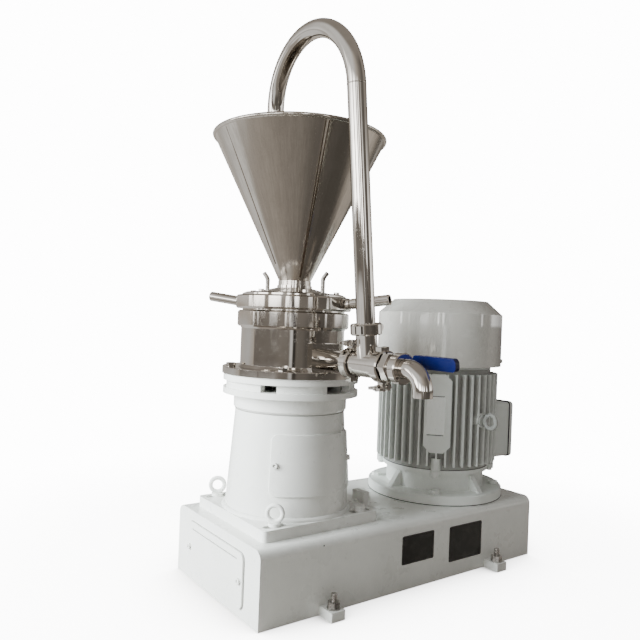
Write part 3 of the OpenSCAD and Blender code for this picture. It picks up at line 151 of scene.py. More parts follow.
def math_of(tree, operation, a, b=0.0, c=0.0):
    """The result of one Math node."""
    return add(tree, "ShaderNodeMath", {0: a, 1: b, 2: c}, operation=operation).outputs[0]


def vector_of(tree, operation, a, b=(0.0, 0.0, 0.0)):
    """The outputs of one Vector Math node."""
    return add(tree, "ShaderNodeVectorMath", {0: a, 1: b}, operation=operation).outputs


def span(tree, value, low, high, to_low=0.0, to_high=1.0):
    """A value's place between low and high, eased at both ends, carried to another span."""
    return add(tree, "ShaderNodeMapRange", {
        "Value": value, "From Min": low, "From Max": high, "To Min": to_low, "To Max": to_high,
    }, interpolation_type="SMOOTHSTEP").outputs[0]


def blend(tree, share, a, b):
    """Two colours mixed by a share."""
    return add(tree, "ShaderNodeMix", {0: share, 6: a, 7: b}, data_type="RGBA").outputs[2]


def ramp(tree, value, stops):
    """A colour ramp over stops of (place, colour)."""
    new = add(tree, "ShaderNodeValToRGB", {0: value})
    elements = new.color_ramp.elements
    while len(elements) < len(stops):
        elements.new(1.0)
    for element, (place, colour) in zip(elements, sorted(stops, key=lambda s: s[0])):
        element.position = place
        element.color = (*colour, 1.0)
    return new.outputs[0]


def hall_stops(levels):
    """Stops round the hall: brown where it is dim and white where it is bright."""
    stops = []
    for degrees, level in levels:
        tint = BROWN if level < DIM_BELOW else WHITE
        stops.append((((degrees + 180) % 360) / 360, tuple(tint * level / BRIGHTEST)))
    return stops


world = bpy.data.worlds.new("white_studio")
bpy.context.scene.world = world
world.use_nodes = True
studio = world.node_tree
studio.nodes.clear()
heading = add(studio, "ShaderNodeTexCoord").outputs["Generated"]
along = add(studio, "ShaderNodeSeparateXYZ", {0: heading})
bearing = math_of(studio, "ARCTAN2", along.outputs["Y"], along.outputs["X"])
bearing = math_of(studio, "MULTIPLY_ADD", bearing, 0.5 / math.pi, 0.5)
rise = along.outputs["Z"]
wall, foot, ground, aisle, near, high = (
    ramp(studio, bearing, hall_stops(levels))
    for levels in (HALL_WALL, HALL_FOOT, HALL_FLOOR, HALL_AISLE, HALL_NEAR, HALL_HIGH)
)
overhead = blend(studio, span(studio, rise, *ROOF_FROM), high, ROOF_TONE)
upper = blend(studio, span(studio, rise, *WINDOW_TOP), wall, overhead)
lower = blend(studio, span(studio, rise, *FAR_FLOOR), aisle, ground)
lower = blend(studio, span(studio, rise, *NEAR_FLOOR), near, lower)
lower = blend(studio, span(studio, rise, *WINDOW_FOOT), lower, foot)
hall = blend(studio, span(studio, rise, *WINDOW_SILL), lower, upper)
key_side = vector_of(studio, "DOT_PRODUCT", heading, DOME_KEY)["Value"]
dome = span(studio, key_side, *DOME_SPAN, DOME_LOW, DOME_HIGH)
rays = add(studio, "ShaderNodeLightPath")
dome_light = add(studio, "ShaderNodeBackground", {0: DOME_TINT, 1: dome})
hall_light = add(studio, "ShaderNodeBackground", {0: hall, 1: BRIGHTEST})
backdrop = add(studio, "ShaderNodeBackground", {0: PURE_WHITE, 1: BACKDROP})
seen = add(studio, "ShaderNodeMixShader", {
    0: rays.outputs["Is Glossy Ray"], 1: dome_light.outputs[0], 2: hall_light.outputs[0],
})
seen = add(studio, "ShaderNodeMixShader", {
    0: rays.outputs["Is Camera Ray"], 1: seen.outputs[0], 2: backdrop.outputs[0],
})
add(studio, "ShaderNodeOutputWorld", {0: seen.outputs[0]})

# The softbox looks from its place to its aim and doesn't show in reflections
lamp = bpy.data.lights.new("left_softbox", "AREA")
lamp.energy, lamp.size, lamp.color = SOFTBOX_WATTS, SOFTBOX_SIZE, SOFTBOX_TINT
softbox = bpy.data.objects.new("left_softbox", lamp)
back = np.subtract(SOFTBOX_AT, SOFTBOX_AIM)
back = back / np.linalg.norm(back)
side = np.cross([0.0, 0.0, 1.0], back)
side = side / np.linalg.norm(side)
pose = np.eye(4)
pose[:3, 0], pose[:3, 1], pose[:3, 2], pose[:3, 3] = side, np.cross(back, side), back, SOFTBOX_AT
softbox.matrix_world = Matrix(pose.tolist())
softbox.visible_glossy = False
bpy.context.scene.collection.objects.link(softbox)

floor_mesh = bpy.data.meshes.new("pale_floor")
floor_corners = [
    (sx * FLOOR_HALF, sy * FLOOR_HALF, 0) for sx, sy in ((-1, -1), (1, -1), (1, 1), (-1, 1))
]
floor_mesh.from_pydata(floor_corners, [], [(0, 1, 2, 3)])
floor = bpy.data.objects.new("pale_floor", floor_mesh)
floor.visible_glossy = False
bpy.context.scene.collection.objects.link(floor)
floor_look = bpy.data.materials.new("pale_floor")
floor_look.use_nodes = True
paper = floor_look.node_tree
paper.nodes.clear()
spot = add(paper, "ShaderNodeTexCoord").outputs["Object"]
fade = span(paper, vector_of(paper, "LENGTH", spot)["Value"], *FLOOR_FADE)
matte = add(paper, "ShaderNodeBsdfDiffuse", {0: FLOOR_TONE})
# The floor glows white for the camera, dimmed near the mill by occlusion: a painted contact shadow
open_sky = add(paper, "ShaderNodeAmbientOcclusion", {"Distance": SHADE_REACH}).outputs["AO"]
open_sky = span(paper, open_sky, *SHADE_SPAN, *FLOOR_GLOW)
to_camera = add(paper, "ShaderNodeLightPath").outputs["Is Camera Ray"]
shown = math_of(paper, "MULTIPLY", open_sky, to_camera)
glow = add(paper, "ShaderNodeEmission", {0: PURE_WHITE, 1: shown})
lit = add(paper, "ShaderNodeAddShader", {0: matte.outputs[0], 1: glow.outputs[0]})
clear = add(paper, "ShaderNodeBsdfTransparent")
whole = add(paper, "ShaderNodeMixShader", {0: fade, 1: lit.outputs[0], 2: clear.outputs[0]})
add(paper, "ShaderNodeOutputMaterial", {0: whole.outputs[0]})
floor_mesh.materials.append(floor_look)

# --- Base ---------------------------------------------------------------------------------------
# A hollow welded box of steel plate with long rounded top edges, four foot lugs and two jacking
# blocks. It is filled, sanded and sprayed in cream-white gloss enamel with the column.
CREAM, CREAM_SHADE = (0.80, 0.80, 0.765), (0.72, 0.72, 0.685)
SPECK, SPECK_SHARE = (0.22, 0.20, 0.17, 1.0), 0.55
SCUFF, SCUFF_SHARE = (0.45, 0.44, 0.40, 1.0), 0.16
# Painted shade deep between cooling fins, and the greatest share of it
FIN_GAP_SHADE, FIN_GAP_SHADE_SHARE = (0.17, 0.17, 0.155, 1.0), 0.72
MERGE_GAP, FLAT_DEGREES, EDGE_MARGIN_DEGREES = 2e-6, 0.4, 3.0


def surface_tree(name):
    """A new material with a plain principled surface: the tree, the shader, Object coordinates."""
    look = bpy.data.materials.new(name)
    look.use_nodes = True
    tree = look.node_tree
    tree.nodes.clear()
    shader = add(tree, "ShaderNodeBsdfPrincipled")
    add(tree, "ShaderNodeOutputMaterial", {0: shader.outputs[0]})
    return look, tree, shader, add(tree, "ShaderNodeTexCoord").outputs["Object"]


def noise(tree, where, scale, detail=3.0, roughness=0.55):
    """A noise value over a coordinate."""
    return add(tree, "ShaderNodeTexNoise", {
        "Vector": where, "Scale": scale, "Detail": detail, "Roughness": roughness,
    }).outputs[0]


def bumped(tree, shader, height, strength, distance, under=None):
    """Adds a bump of a height to a shader, over an earlier bump where there is one."""
    inputs = {"Height": height, "Strength": strength, "Distance": distance}
    if under is not None:
        inputs["Normal"] = under
    normal = add(tree, "ShaderNodeBump", inputs).outputs[0]
    tree.links.new(normal, shader.inputs["Normal"])
    return normal


def enamel(name, light, shade, gloss, coat, ripple, coat_index=1.5, coat_gloss=0.08, roots=None):
    """Sprayed paint: slow changes of tone, specks, scuffs, orange peel and filler ripples.

    Roots give an axis and two radii: between them the colour goes from painted shade, deep between
    fins, to the clean paint.
    """
    look, tree, shader, where = surface_tree(name)
    tone = span(tree, noise(tree, where, 5.0, 4.0), 0.32, 0.70)
    colour = blend(tree, tone, (*shade, 1.0), (*light, 1.0))
    speck = span(tree, noise(tree, where, 210.0, 2.0), 0.735, 0.775)
    colour = blend(tree, math_of(tree, "MULTIPLY", speck, SPECK_SHARE), colour, SPECK)
    scuff = span(tree, noise(tree, where, 34.0, 6.0, 0.7), 0.60, 0.78)
    colour = blend(tree, math_of(tree, "MULTIPLY", scuff, SCUFF_SHARE), colour, SCUFF)
    # Painted shade: the colour darkens towards the axis, between the two radii
    if roots:
        axis_x, shaded_r, unshaded_r = roots
        from_axis = vector_of(tree, "SUBTRACT", where, (axis_x, 0.0, 0.0))["Vector"]
        level = vector_of(tree, "MULTIPLY", from_axis, (1.0, 1.0, 0.0))["Vector"]
        r = vector_of(tree, "LENGTH", level)["Value"]
        colour = blend(tree, span(tree, r, shaded_r, unshaded_r, FIN_GAP_SHADE_SHARE, 0.0), colour, FIN_GAP_SHADE)
    tree.links.new(colour, shader.inputs["Base Color"])
    rough = span(tree, noise(tree, where, 22.0, 4.0), 0.3, 0.75, gloss - 0.05, gloss + 0.12)
    tree.links.new(rough, shader.inputs["Roughness"])
    shader.inputs["Coat Weight"].default_value = coat
    shader.inputs["Coat Roughness"].default_value = coat_gloss
    shader.inputs["Coat IOR"].default_value = coat_index
    under = bumped(tree, shader, noise(tree, where, 16.0, 2.0), ripple, 0.004)
    bumped(tree, shader, noise(tree, where, 420.0, 1.0), 0.05, 0.0006, under)
    return look


def linked(name, mesh):
    """An object of a mesh, at the origin."""
    piece = bpy.data.objects.new(name, mesh)
    bpy.context.scene.collection.objects.link(piece)
    return piece


def skin(node, look, edge=0.0006, steps=2, smooth=32.0):
    """A solid's welded copy: flat faces are joined, and sharp edges get a small radius."""
    mesh = solids[node].data.copy()
    piece = linked(node + "_skin", mesh)
    work = bmesh.new()
    work.from_mesh(mesh)
    bmesh.ops.remove_doubles(work, verts=work.verts, dist=MERGE_GAP)
    flat = math.radians(FLAT_DEGREES)
    bmesh.ops.dissolve_limit(work, angle_limit=flat, verts=work.verts, edges=work.edges)
    work.to_mesh(mesh)
    work.free()
    if "custom_normal" in mesh.attributes:
        mesh.attributes.remove(mesh.attributes["custom_normal"])
    mesh.shade_smooth()
    mesh.set_sharp_from_angle(angle=math.radians(smooth))
    mesh.materials.clear()
    mesh.materials.append(look)
    if edge:
        rounding = piece.modifiers.new("edges", "BEVEL")
        rounding.width, rounding.segments = edge, steps
        rounding.limit_method = "ANGLE"
        rounding.angle_limit = math.radians(smooth + EDGE_MARGIN_DEGREES)
        rounding.use_clamp_overlap = True
        rounding.harden_normals = True
    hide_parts(node)
    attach(piece, solids[node]["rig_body"])
    return piece


cream = enamel("cream_enamel", CREAM, CREAM_SHADE, gloss=0.30, coat=0.35, ripple=0.10)
skin("base_frame", cream, edge=0.0015)

# --- Bare plates on the base --------------------------------------------------------------------
# Two thin black anodised plates riveted to the front wall of the base, with nothing on them. A
# raised edge runs round each face, and four small round rivet heads hold it.
FRONT_Y = -0.1575
PLATES = [(-0.038, 0.049, 0.046, 0.103), (0.091, 0.0305, 0.187, 0.101)]
PLATE_T, PLATE_CORNER, LEAST_CORNER = 0.0010, 0.0030, 0.0002
# Inset and height of each step, from the wall over the raised edge to the sunk face
PLATE_STEPS = [(0, 0), (0, 0.0010), (0.0004, 0.0013), (0.0014, 0.0013), (0.0018, 0.0010)]
RIVET_R, RIVET_H, RIVET_IN = 0.0016, 0.0009, 0.0050
CHIP_X, CHIP_Z, CHIP_R, CHIP_H = -0.223, 0.119, 0.0014, 0.0005


def grid_points(x, y, z):
    """Three sets of coordinates spread over one grid, as a list of points."""
    return np.stack(np.broadcast_arrays(x, y, z), -1).reshape(-1, 3)


def grid_faces(rows, columns, close_rows=False, close_columns=True):
    """Quads of a grid, closed round where asked; points are numbered along each row in turn."""
    r = np.arange(rows if close_rows else rows - 1)[:, None]
    c = np.arange(columns if close_columns else columns - 1)[None, :]
    r2, c2 = (r + 1) % rows, (c + 1) % columns
    corners = (r * columns + c, r * columns + c2, r2 * columns + c2, r2 * columns + c)
    return np.stack(np.broadcast_arrays(*corners), -1).reshape(-1, 4)


def capped(rows, columns):
    """Faces of a row of rings: the quads between them and one face at each end."""
    first = list(range(columns - 1, -1, -1))
    last = list(range((rows - 1) * columns, rows * columns))
    return [list(f) for f in grid_faces(rows, columns)] + [first, last]


def made(name, points, faces, look, body, slot, smooth=35.0, replaced=()):
    """A piece from points and faces, shaded smooth between its sharp edges, riding on a body."""
    mesh = bpy.data.meshes.new(name)
    points = np.asarray(points, float).reshape(-1, 3)
    mesh.from_pydata(points.tolist(), [], [list(map(int, f)) for f in faces])
    mesh.validate()
    mesh.shade_smooth()
    mesh.set_sharp_from_angle(angle=math.radians(smooth))
    mesh.materials.append(look)
    piece = linked(name, mesh)
    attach(piece, body)
    if replaced:
        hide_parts(*replaced)
    return piece


def rounded_outline(width, height, corner, n=10):
    """A rounded rectangle about the origin: four quarter circles, each round its corner's middle."""
    a = np.linspace(0, np.pi / 2, n)[None, :] + np.arange(4)[:, None] * np.pi / 2
    mid_x = np.array([1, -1, -1, 1])[:, None] * (width / 2 - corner)
    mid_y = np.array([1, 1, -1, -1])[:, None] * (height / 2 - corner)
    return np.stack([mid_x + corner * np.cos(a), mid_y + corner * np.sin(a)], -1).reshape(-1, 2)


def slab(width, height, corner, steps):
    """A flat plate about the origin: at each step's height the outline is drawn in by its inset."""
    rings = []
    for inset, level in steps:
        radius = max(corner - inset, LEAST_CORNER)
        ring = rounded_outline(width - 2 * inset, height - 2 * inset, radius)
        rings.append(np.column_stack([ring, np.full(len(ring), level)]))
    return np.concatenate(rings), capped(len(rings), len(rings[0]))


def dome_cap(radius, height, rows=5, columns=12, arc=0.42 * np.pi):
    """A round head about the origin: rings at equal steps of an arc, closed at its top and foot."""
    a = np.linspace(0, arc, rows)[:, None]
    t = np.linspace(0, 2 * np.pi, columns, endpoint=False)[None, :]
    x, y = radius * np.cos(a) * np.cos(t), radius * np.cos(a) * np.sin(t)
    return grid_points(x, y, height * np.sin(a) / math.sin(arc)), capped(rows, columns)


def gathered(parts):
    """Several sets of points and faces as one."""
    points, faces, start = [], [], 0
    for p, f in parts:
        points.append(p)
        faces += [[start + int(i) for i in face] for face in f]
        start += len(p)
    return np.concatenate(points), faces


def on_front(points, x, z):
    """Carries a drawing of width, height and depth onto the base's front wall."""
    return np.column_stack([x + points[:, 0], FRONT_Y - points[:, 2], z + points[:, 1]])


def lacquer(name, colour, worn, gloss):
    """Thin dark lacquer on sheet: dusty patches, a fine grain and a soft sheen."""
    look, tree, shader, where = surface_tree(name)
    dust = span(tree, noise(tree, where, 60.0, 5.0, 0.65), 0.42, 0.80)
    tree.links.new(blend(tree, dust, (*colour, 1.0), (*worn, 1.0)), shader.inputs["Base Color"])
    rough = span(tree, noise(tree, where, 35.0), 0.3, 0.8, gloss, gloss + 0.18)
    tree.links.new(rough, shader.inputs["Roughness"])
    bumped(tree, shader, noise(tree, where, 700.0, 2.0), 0.08, 0.0004)
    return look


# Black lacquer of the bare plates; the motor's painted shadow lines use it too
black_plate_and_shadow = lacquer("black_plate_and_shadow", (0.012, 0.012, 0.011), (0.035, 0.034, 0.031), gloss=0.30)
for number, (x0, z0, x1, z1) in enumerate(PLATES, 1):
    w, h = x1 - x0, z1 - z0
    parts = [slab(w, h, PLATE_CORNER, PLATE_STEPS)]
    for sx in (-1, 1):
        for sz in (-1, 1):
            head, head_faces = dome_cap(RIVET_R, RIVET_H)
            head = head + [sx * (w / 2 - RIVET_IN), sz * (h / 2 - RIVET_IN), PLATE_T]
            parts.append((head, head_faces))
    points, faces = gathered(parts)
    points = on_front(points, (x0 + x1) / 2, (z0 + z1) / 2)
    made("bare_plate_%d" % number, points, faces, black_plate_and_shadow, "stand", "black_plastic")

chip, chip_faces = dome_cap(CHIP_R, CHIP_H)
chip = on_front(chip, CHIP_X, CHIP_Z)
made("front_paint_chip", chip, chip_faces, black_plate_and_shadow, "stand", "cream_paint")

# --- Hold-down studs ----------------------------------------------------------------------------
# Four plain steel studs through the foot lugs, threaded over their whole length, each with a washer
# and a nut run down on the lug. The jack screws in the blocks are sprayed over with the base.
STUD_X, STUD_Y, STUD_R, STUD_TOP = 0.214, 0.1785, 0.006, 0.043
THREAD_PITCH, THREAD_DEPTH, THREAD_SMOOTH = 0.00175, 0.0009, 50.0


def threaded(radius, length, pitch, depth, turn_steps=20, pitch_steps=5):
    """A screw thread: the radius falls by the depth times a saw, tapered off at the top.

    The saw runs over height divided by pitch, less the share of a turn.
    """
    rows = int(length / pitch * pitch_steps)
    z = np.linspace(0, length, rows)[:, None]
    a = np.arange(turn_steps)[None, :] / turn_steps
    saw = np.abs(((z / pitch - a) % 1.0) * 2 - 1)
    taper = np.clip((length - z) / (2 * depth), 0.0, 1.0)
    r = radius - depth * np.maximum(saw, 1.0 - taper)
    points = grid_points(r * np.cos(2 * np.pi * a), r * np.sin(2 * np.pi * a), z)
    return points, capped(rows, turn_steps)


def dull_steel(name, bright, dark, gloss, scale=90.0):
    """Plain handled steel: oxide patches over bright metal, darker and rougher together."""
    look, tree, shader, where = surface_tree(name)
    oxide = span(tree, noise(tree, where, scale, 5.0, 0.65), 0.36, 0.72)
    tree.links.new(blend(tree, oxide, (*bright, 1.0), (*dark, 1.0)), shader.inputs["Base Color"])
    shader.inputs["Metallic"].default_value = 1.0
    rough = span(tree, oxide, 0.0, 1.0, gloss, gloss + 0.22)
    tree.links.new(rough, shader.inputs["Roughness"])
    bumped(tree, shader, noise(tree, where, 900.0, 3.0), 0.10, 0.0004)
    return look


stud_steel = dull_steel("stud_steel", (0.52, 0.51, 0.49), (0.24, 0.23, 0.215), 0.26, scale=140.0)
stud, stud_faces = threaded(STUD_R, STUD_TOP, THREAD_PITCH, THREAD_DEPTH)
studs = gathered([
    (stud + [sx * STUD_X, sy * STUD_Y, 0], stud_faces) for sx in (-1, 1) for sy in (-1, 1)
])
made("stud_threads", *studs, stud_steel, "stand", "dark_steel", smooth=THREAD_SMOOTH,
     replaced=["hold_down_studs"])
skin("hold_down_nuts", stud_steel, edge=0.0007)
skin("jack_screws", cream, edge=0.0007)

# --- End cover and cover screws -----------------------------------------------------------------
# A thin pressed cover on the left end of the base, over the belt end, held by two socket screws and
# sprayed over with the base so that only its edge and a groove show.
END_X, END_Z, END_W, END_H, END_CORNER, END_T = -0.350, 0.064, 0.214, 0.094, 0.012, 0.004
RIM_PAST, RIM_PROUD, RIM_SIZE, RIM_POINTS = 0.0008, 0.0002, (0.0008, 0.0008), 160
GROOVE_Z, GROOVE_HALF, GROOVE_SUNK = 0.0982, 0.086, 0.0003
GROOVE_SIZE, GROOVE_POINTS = (0.0006, 0.0004), 24
LEFT = np.array([-1.0, 0.0, 0.0])


def resampled(outline, n):
    """A closed outline as n points at equal steps along its length."""
    loop = np.vstack([outline, outline[:1]])
    run = np.concatenate([[0.0], np.cumsum(np.linalg.norm(np.diff(loop, axis=0), axis=1))])
    at = np.linspace(0.0, run[-1], n, endpoint=False)
    return np.column_stack([np.interp(at, run, loop[:, i]) for i in range(loop.shape[1])])


def bead(path, outward, wide, high, closed=True, n=8):
    """A bead along a path: at each point an ellipse stands on it.

    One half axis, high, points outward; the other, wide, is square to the path and to outward.
    """
    if closed:
        ahead_of = np.roll(path, -1, axis=0) - np.roll(path, 1, axis=0)
    else:
        ahead_of = np.gradient(path, axis=0)
    across = np.cross(ahead_of, outward)
    across = across / np.linalg.norm(across, axis=1, keepdims=True)
    a = np.linspace(0.0, 2 * np.pi, n, endpoint=False)[None, :, None]
    wide = np.broadcast_to(wide, len(path))[:, None, None]
    high = np.broadcast_to(high, len(path))[:, None, None]
    rings = path[:, None, :] + wide * np.cos(a) * across[:, None, :]
    rings = rings + high * np.sin(a) * outward[:, None, :]
    faces = grid_faces(len(path), n, close_rows=True) if closed else capped(len(path), n)
    return rings.reshape(-1, 3), [list(f)[::-1] for f in faces]


skin("end_cover", cream, edge=0.0012)
skin("cover_screws", cream, edge=0.0004)
# Dark beads round the cover and along its groove: painted shadow in the gap and the groove
seam_shadow_grey = lacquer("seam_shadow", (0.26, 0.255, 0.24), (0.36, 0.35, 0.33), gloss=0.55)
rim = resampled(rounded_outline(END_W + RIM_PAST, END_H + RIM_PAST, END_CORNER), RIM_POINTS)
rim = np.column_stack([np.full(RIM_POINTS, END_X - RIM_PROUD), rim[:, 0], END_Z + rim[:, 1]])
groove_y = np.linspace(-GROOVE_HALF, GROOVE_HALF, GROOVE_POINTS)[:, None]
groove = [END_X - END_T + GROOVE_SUNK, 0.0, GROOVE_Z] + groove_y * [0.0, 1.0, 0.0]
seam_shadows = gathered([
    bead(rim, np.tile(LEFT, (RIM_POINTS, 1)), *RIM_SIZE),
    bead(groove, np.tile(LEFT, (GROOVE_POINTS, 1)), *GROOVE_SIZE, closed=False),
])
made("end_cover_seam_shadow", *seam_shadows, seam_shadow_grey, "stand", "cream_paint")

# --- Column -------------------------------------------------------------------------------------
# A cast bearing column on a square foot plate, with a curved inspection cover on its front and a
# windowed seat ring on top. It is filled smooth and sprayed; paint fills the seam round the cover.
MILL_X = -0.200
CONE_Z, CONE_R = (0.150, 0.335), (0.1185, 0.105)
COVER_HALF, COVER_Z, COVER_H = math.radians(49.0), 0.2465, 0.106
COVER_T, COVER_CORNER, COVER_GAP = 0.004, 0.011, 0.0003
COVER_ROWS, COVER_COLUMNS = 45, 97
COVER_EDGE, COVER_EDGE_STEPS, COVER_EDGE_DEGREES = 0.0011, 3, 50.0
FILLET_PAST, FILLET_PROUD, FILLET_SIZE, FILLET_POINTS = 0.0012, 0.0004, (0.0011, 0.0016), 300
COLLAR_PROUD, COLLAR_DROP, COLLAR_SIZE, COLLAR_POINTS = 0.0006, 0.0004, (0.0008, 0.0006), 180


def on_cone(along_arc, height, out):
    """A drawing of arc length, height and depth on the cone about its front line, with normals."""
    z = COVER_Z + height
    r = np.interp(z, CONE_Z, CONE_R) + out
    turn = 1.5 * np.pi + along_arc / np.interp(COVER_Z, CONE_Z, CONE_R)
    level = np.stack([np.cos(turn), np.sin(turn), np.zeros_like(turn)], -1)
    axis = np.stack([np.full_like(z, MILL_X), np.zeros_like(z), z], -1)
    return level * r[..., None] + axis, level


def eased(n):
    """Steps from -1 to 1 that are closer at both ends: the sine of equal steps of half a turn."""
    return np.sin(np.linspace(-np.pi / 2, np.pi / 2, n))


def all_round(n):
    """Level directions at equal steps of a whole turn."""
    turn = np.linspace(0.0, 2 * np.pi, n, endpoint=False)
    return np.column_stack([np.cos(turn), np.sin(turn), np.zeros(n)])


skin("column", cream, edge=0.0012)
skin("column_eyebolts", cream, edge=0.0006, smooth=50.0)
skin("column_bolts", cream, edge=0.0008)
skin("seat_ring", cream, edge=0.0010)

cover_w = 2 * COVER_HALF * np.interp(COVER_Z, CONE_Z, CONE_R)
cover_rows = COVER_H / 2 * eased(COVER_ROWS)[:, None]
past = np.maximum(np.abs(cover_rows) - (COVER_H / 2 - COVER_CORNER), 0.0)
half_row = cover_w / 2 - COVER_CORNER + np.sqrt(np.maximum(COVER_CORNER ** 2 - past ** 2, 0.0))
cover_arc = half_row * eased(COVER_COLUMNS)[None, :]
cover_points, _ = on_cone(cover_arc, np.broadcast_to(cover_rows, cover_arc.shape), COVER_T)
cover_faces = grid_faces(COVER_ROWS, COVER_COLUMNS, close_columns=False)
cover_sheet = made("inspection_cover_sheet", cover_points, cover_faces, cream, "stand",
                   "cream_paint", replaced=["inspection_cover"])
depth = cover_sheet.modifiers.new("sheet", "SOLIDIFY")
depth.thickness, depth.offset = COVER_T - COVER_GAP, -1.0
rounding = cover_sheet.modifiers.new("edges", "BEVEL")
rounding.width, rounding.segments, rounding.limit_method = COVER_EDGE, COVER_EDGE_STEPS, "ANGLE"
rounding.angle_limit, rounding.harden_normals = math.radians(COVER_EDGE_DEGREES), True

fillet = rounded_outline(cover_w + FILLET_PAST, COVER_H + FILLET_PAST, COVER_CORNER)
fillet = resampled(fillet, FILLET_POINTS)
fillet, fillet_out = on_cone(fillet[:, 0], fillet[:, 1], np.full(FILLET_POINTS, FILLET_PROUD))
made("column_paint_bead", *bead(fillet, fillet_out, *FILLET_SIZE), cream, "stand", "cream_paint")
# A dark ring under the collar: painted shadow in the seam there
level_out = all_round(COLLAR_POINTS)
collar = level_out * (CONE_R[1] + COLLAR_PROUD) + [MILL_X, 0.0, CONE_Z[1] - COLLAR_DROP]
made("column_seam_shadow", *bead(collar, level_out, *COLLAR_SIZE), seam_shadow_grey, "stand", "cream_paint")

# --- Milling head -------------------------------------------------------------------------------
# Turned stainless steel, polished on the lathe to a mirror: housing, adjusting ring and domed cover,
# with two screwed handles and two hooks. Fine turning marks run round the mill axis.
TURNING_MARKS, MARK_DEPTH = 5200.0, 0.00004


def mirror_steel(name, bright, dim, gloss, lathe):
    """Polished steel: stains, fingermarks, and turning marks as a sine of height plus radius."""
    look, tree, shader, where = surface_tree(name)
    stain = span(tree, noise(tree, where, 18.0, 5.0, 0.6), 0.35, 0.75)
    tree.links.new(blend(tree, stain, (*bright, 1.0), (*dim, 1.0)), shader.inputs["Base Color"])
    shader.inputs["Metallic"].default_value = 1.0
    smear = noise(tree, where, 55.0, 4.0, 0.6)
    tree.links.new(span(tree, smear, 0.38, 0.78, gloss, gloss + 0.06), shader.inputs["Roughness"])
    split = add(tree, "ShaderNodeSeparateXYZ", {0: where})
    dx = math_of(tree, "SUBTRACT", split.outputs["X"], MILL_X)
    dx_square = math_of(tree, "MULTIPLY", dx, dx)
    y_square = math_of(tree, "MULTIPLY", split.outputs["Y"], split.outputs["Y"])
    r = math_of(tree, "SQRT", math_of(tree, "ADD", dx_square, y_square))
    run = math_of(tree, "ADD", r, split.outputs["Z"])
    mark = math_of(tree, "SINE", math_of(tree, "MULTIPLY", run, TURNING_MARKS))
    under = bumped(tree, shader, mark, lathe, MARK_DEPTH)
    bumped(tree, shader, noise(tree, where, 9.0, 2.0), 0.05, 0.004, under)
    return look


head_steel = mirror_steel("polished_head", (0.66, 0.635, 0.60), (0.56, 0.53, 0.49),
                          gloss=0.04, lathe=0.04)
tube_steel = mirror_steel("polished_tube", (0.68, 0.655, 0.62), (0.58, 0.55, 0.51),
                          gloss=0.035, lathe=0.0)
hook_steel = dull_steel("hook_steel", (0.46, 0.45, 0.43), (0.25, 0.24, 0.225), gloss=0.18)
skin("mill_housing", head_steel, edge=0.0008)
skin("housing_bolts", tube_steel, edge=0.0006)
skin("adjusting_ring", head_steel, edge=0.0008)
skin("handle_rods", tube_steel, edge=0.0005)
skin("handle_grips", tube_steel, edge=0.0010)
skin("top_cover", head_steel, edge=0.0008)
skin("top_cover_screws", tube_steel, edge=0.0004)
skin("cover_hooks", hook_steel, edge=0.0006, smooth=45.0)

# --- Hopper -------------------------------------------------------------------------------------
# A cone rolled from stainless sheet, welded down one side and ground back, with a wire rolled into
# the rim and a short neck ring. The sheet keeps a satin grain that runs up the cone.
HOPPER_Z, HOPPER_R = (0.580, 0.853), (0.031, 0.1643)
WELD_TURNS, WELD_Z, WELD_POINTS = np.radians([251.8, 254.0]), (0.586, 0.848), 400
WELD_WIDE, WELD_HIGH, WELD_BEAT = (0.0013, 0.0003), (0.0004, 0.0001), 1.15
CREASE_TURN, CREASE_Z, CREASE_POINTS = math.radians(181.0), (0.610, 0.847), 120
CREASE_SIZE = (0.0019, 0.0003)


def sheet_steel(name, bright, dim, gloss):
    """Rolled satin sheet: streaks up the cone, from noise over the turn about its axis."""
    look, tree, shader, where = surface_tree(name)
    split = add(tree, "ShaderNodeSeparateXYZ", {0: where})
    dx = math_of(tree, "SUBTRACT", split.outputs["X"], MILL_X)
    turn = math_of(tree, "ARCTAN2", split.outputs["Y"], dx)
    streak_at = add(tree, "ShaderNodeCombineXYZ", {
        0: math_of(tree, "COSINE", turn), 1: math_of(tree, "SINE", turn),
        2: math_of(tree, "MULTIPLY", split.outputs["Z"], 0.9),
    }).outputs[0]
    streak = noise(tree, streak_at, 26.0, 5.0, 0.7)
    blot = noise(tree, where, 30.0, 5.0, 0.65)
    mixed = math_of(tree, "MULTIPLY_ADD", streak, 0.6, math_of(tree, "MULTIPLY", blot, 0.4))
    colour = blend(tree, span(tree, mixed, 0.36, 0.66), (*bright, 1.0), (*dim, 1.0))
    tree.links.new(colour, shader.inputs["Base Color"])
    shader.inputs["Metallic"].default_value = 1.0
    tree.links.new(span(tree, mixed, 0.35, 0.70, gloss, gloss + 0.12), shader.inputs["Roughness"])
    bumped(tree, shader, streak, 0.10, 0.0008)
    return look


def down_cone(turn, low, high, n):
    """A line down the outside of the hopper at one turn about its axis, with outward directions."""
    z = np.linspace(low, high, n)
    level = np.array([math.cos(turn), math.sin(turn), 0.0])
    slope = (HOPPER_R[1] - HOPPER_R[0]) / (HOPPER_Z[1] - HOPPER_Z[0])
    out = (level - np.array([0.0, 0.0, slope])) / math.hypot(1.0, slope)
    axis = np.column_stack([np.full(n, MILL_X), np.zeros(n), z])
    return level * np.interp(z, HOPPER_Z, HOPPER_R)[:, None] + axis, np.tile(out, (n, 1))


hopper_steel = sheet_steel("satin_sheet", (0.66, 0.63, 0.585), (0.55, 0.52, 0.475), gloss=0.11)
skin("hopper", hopper_steel, edge=0.0003)

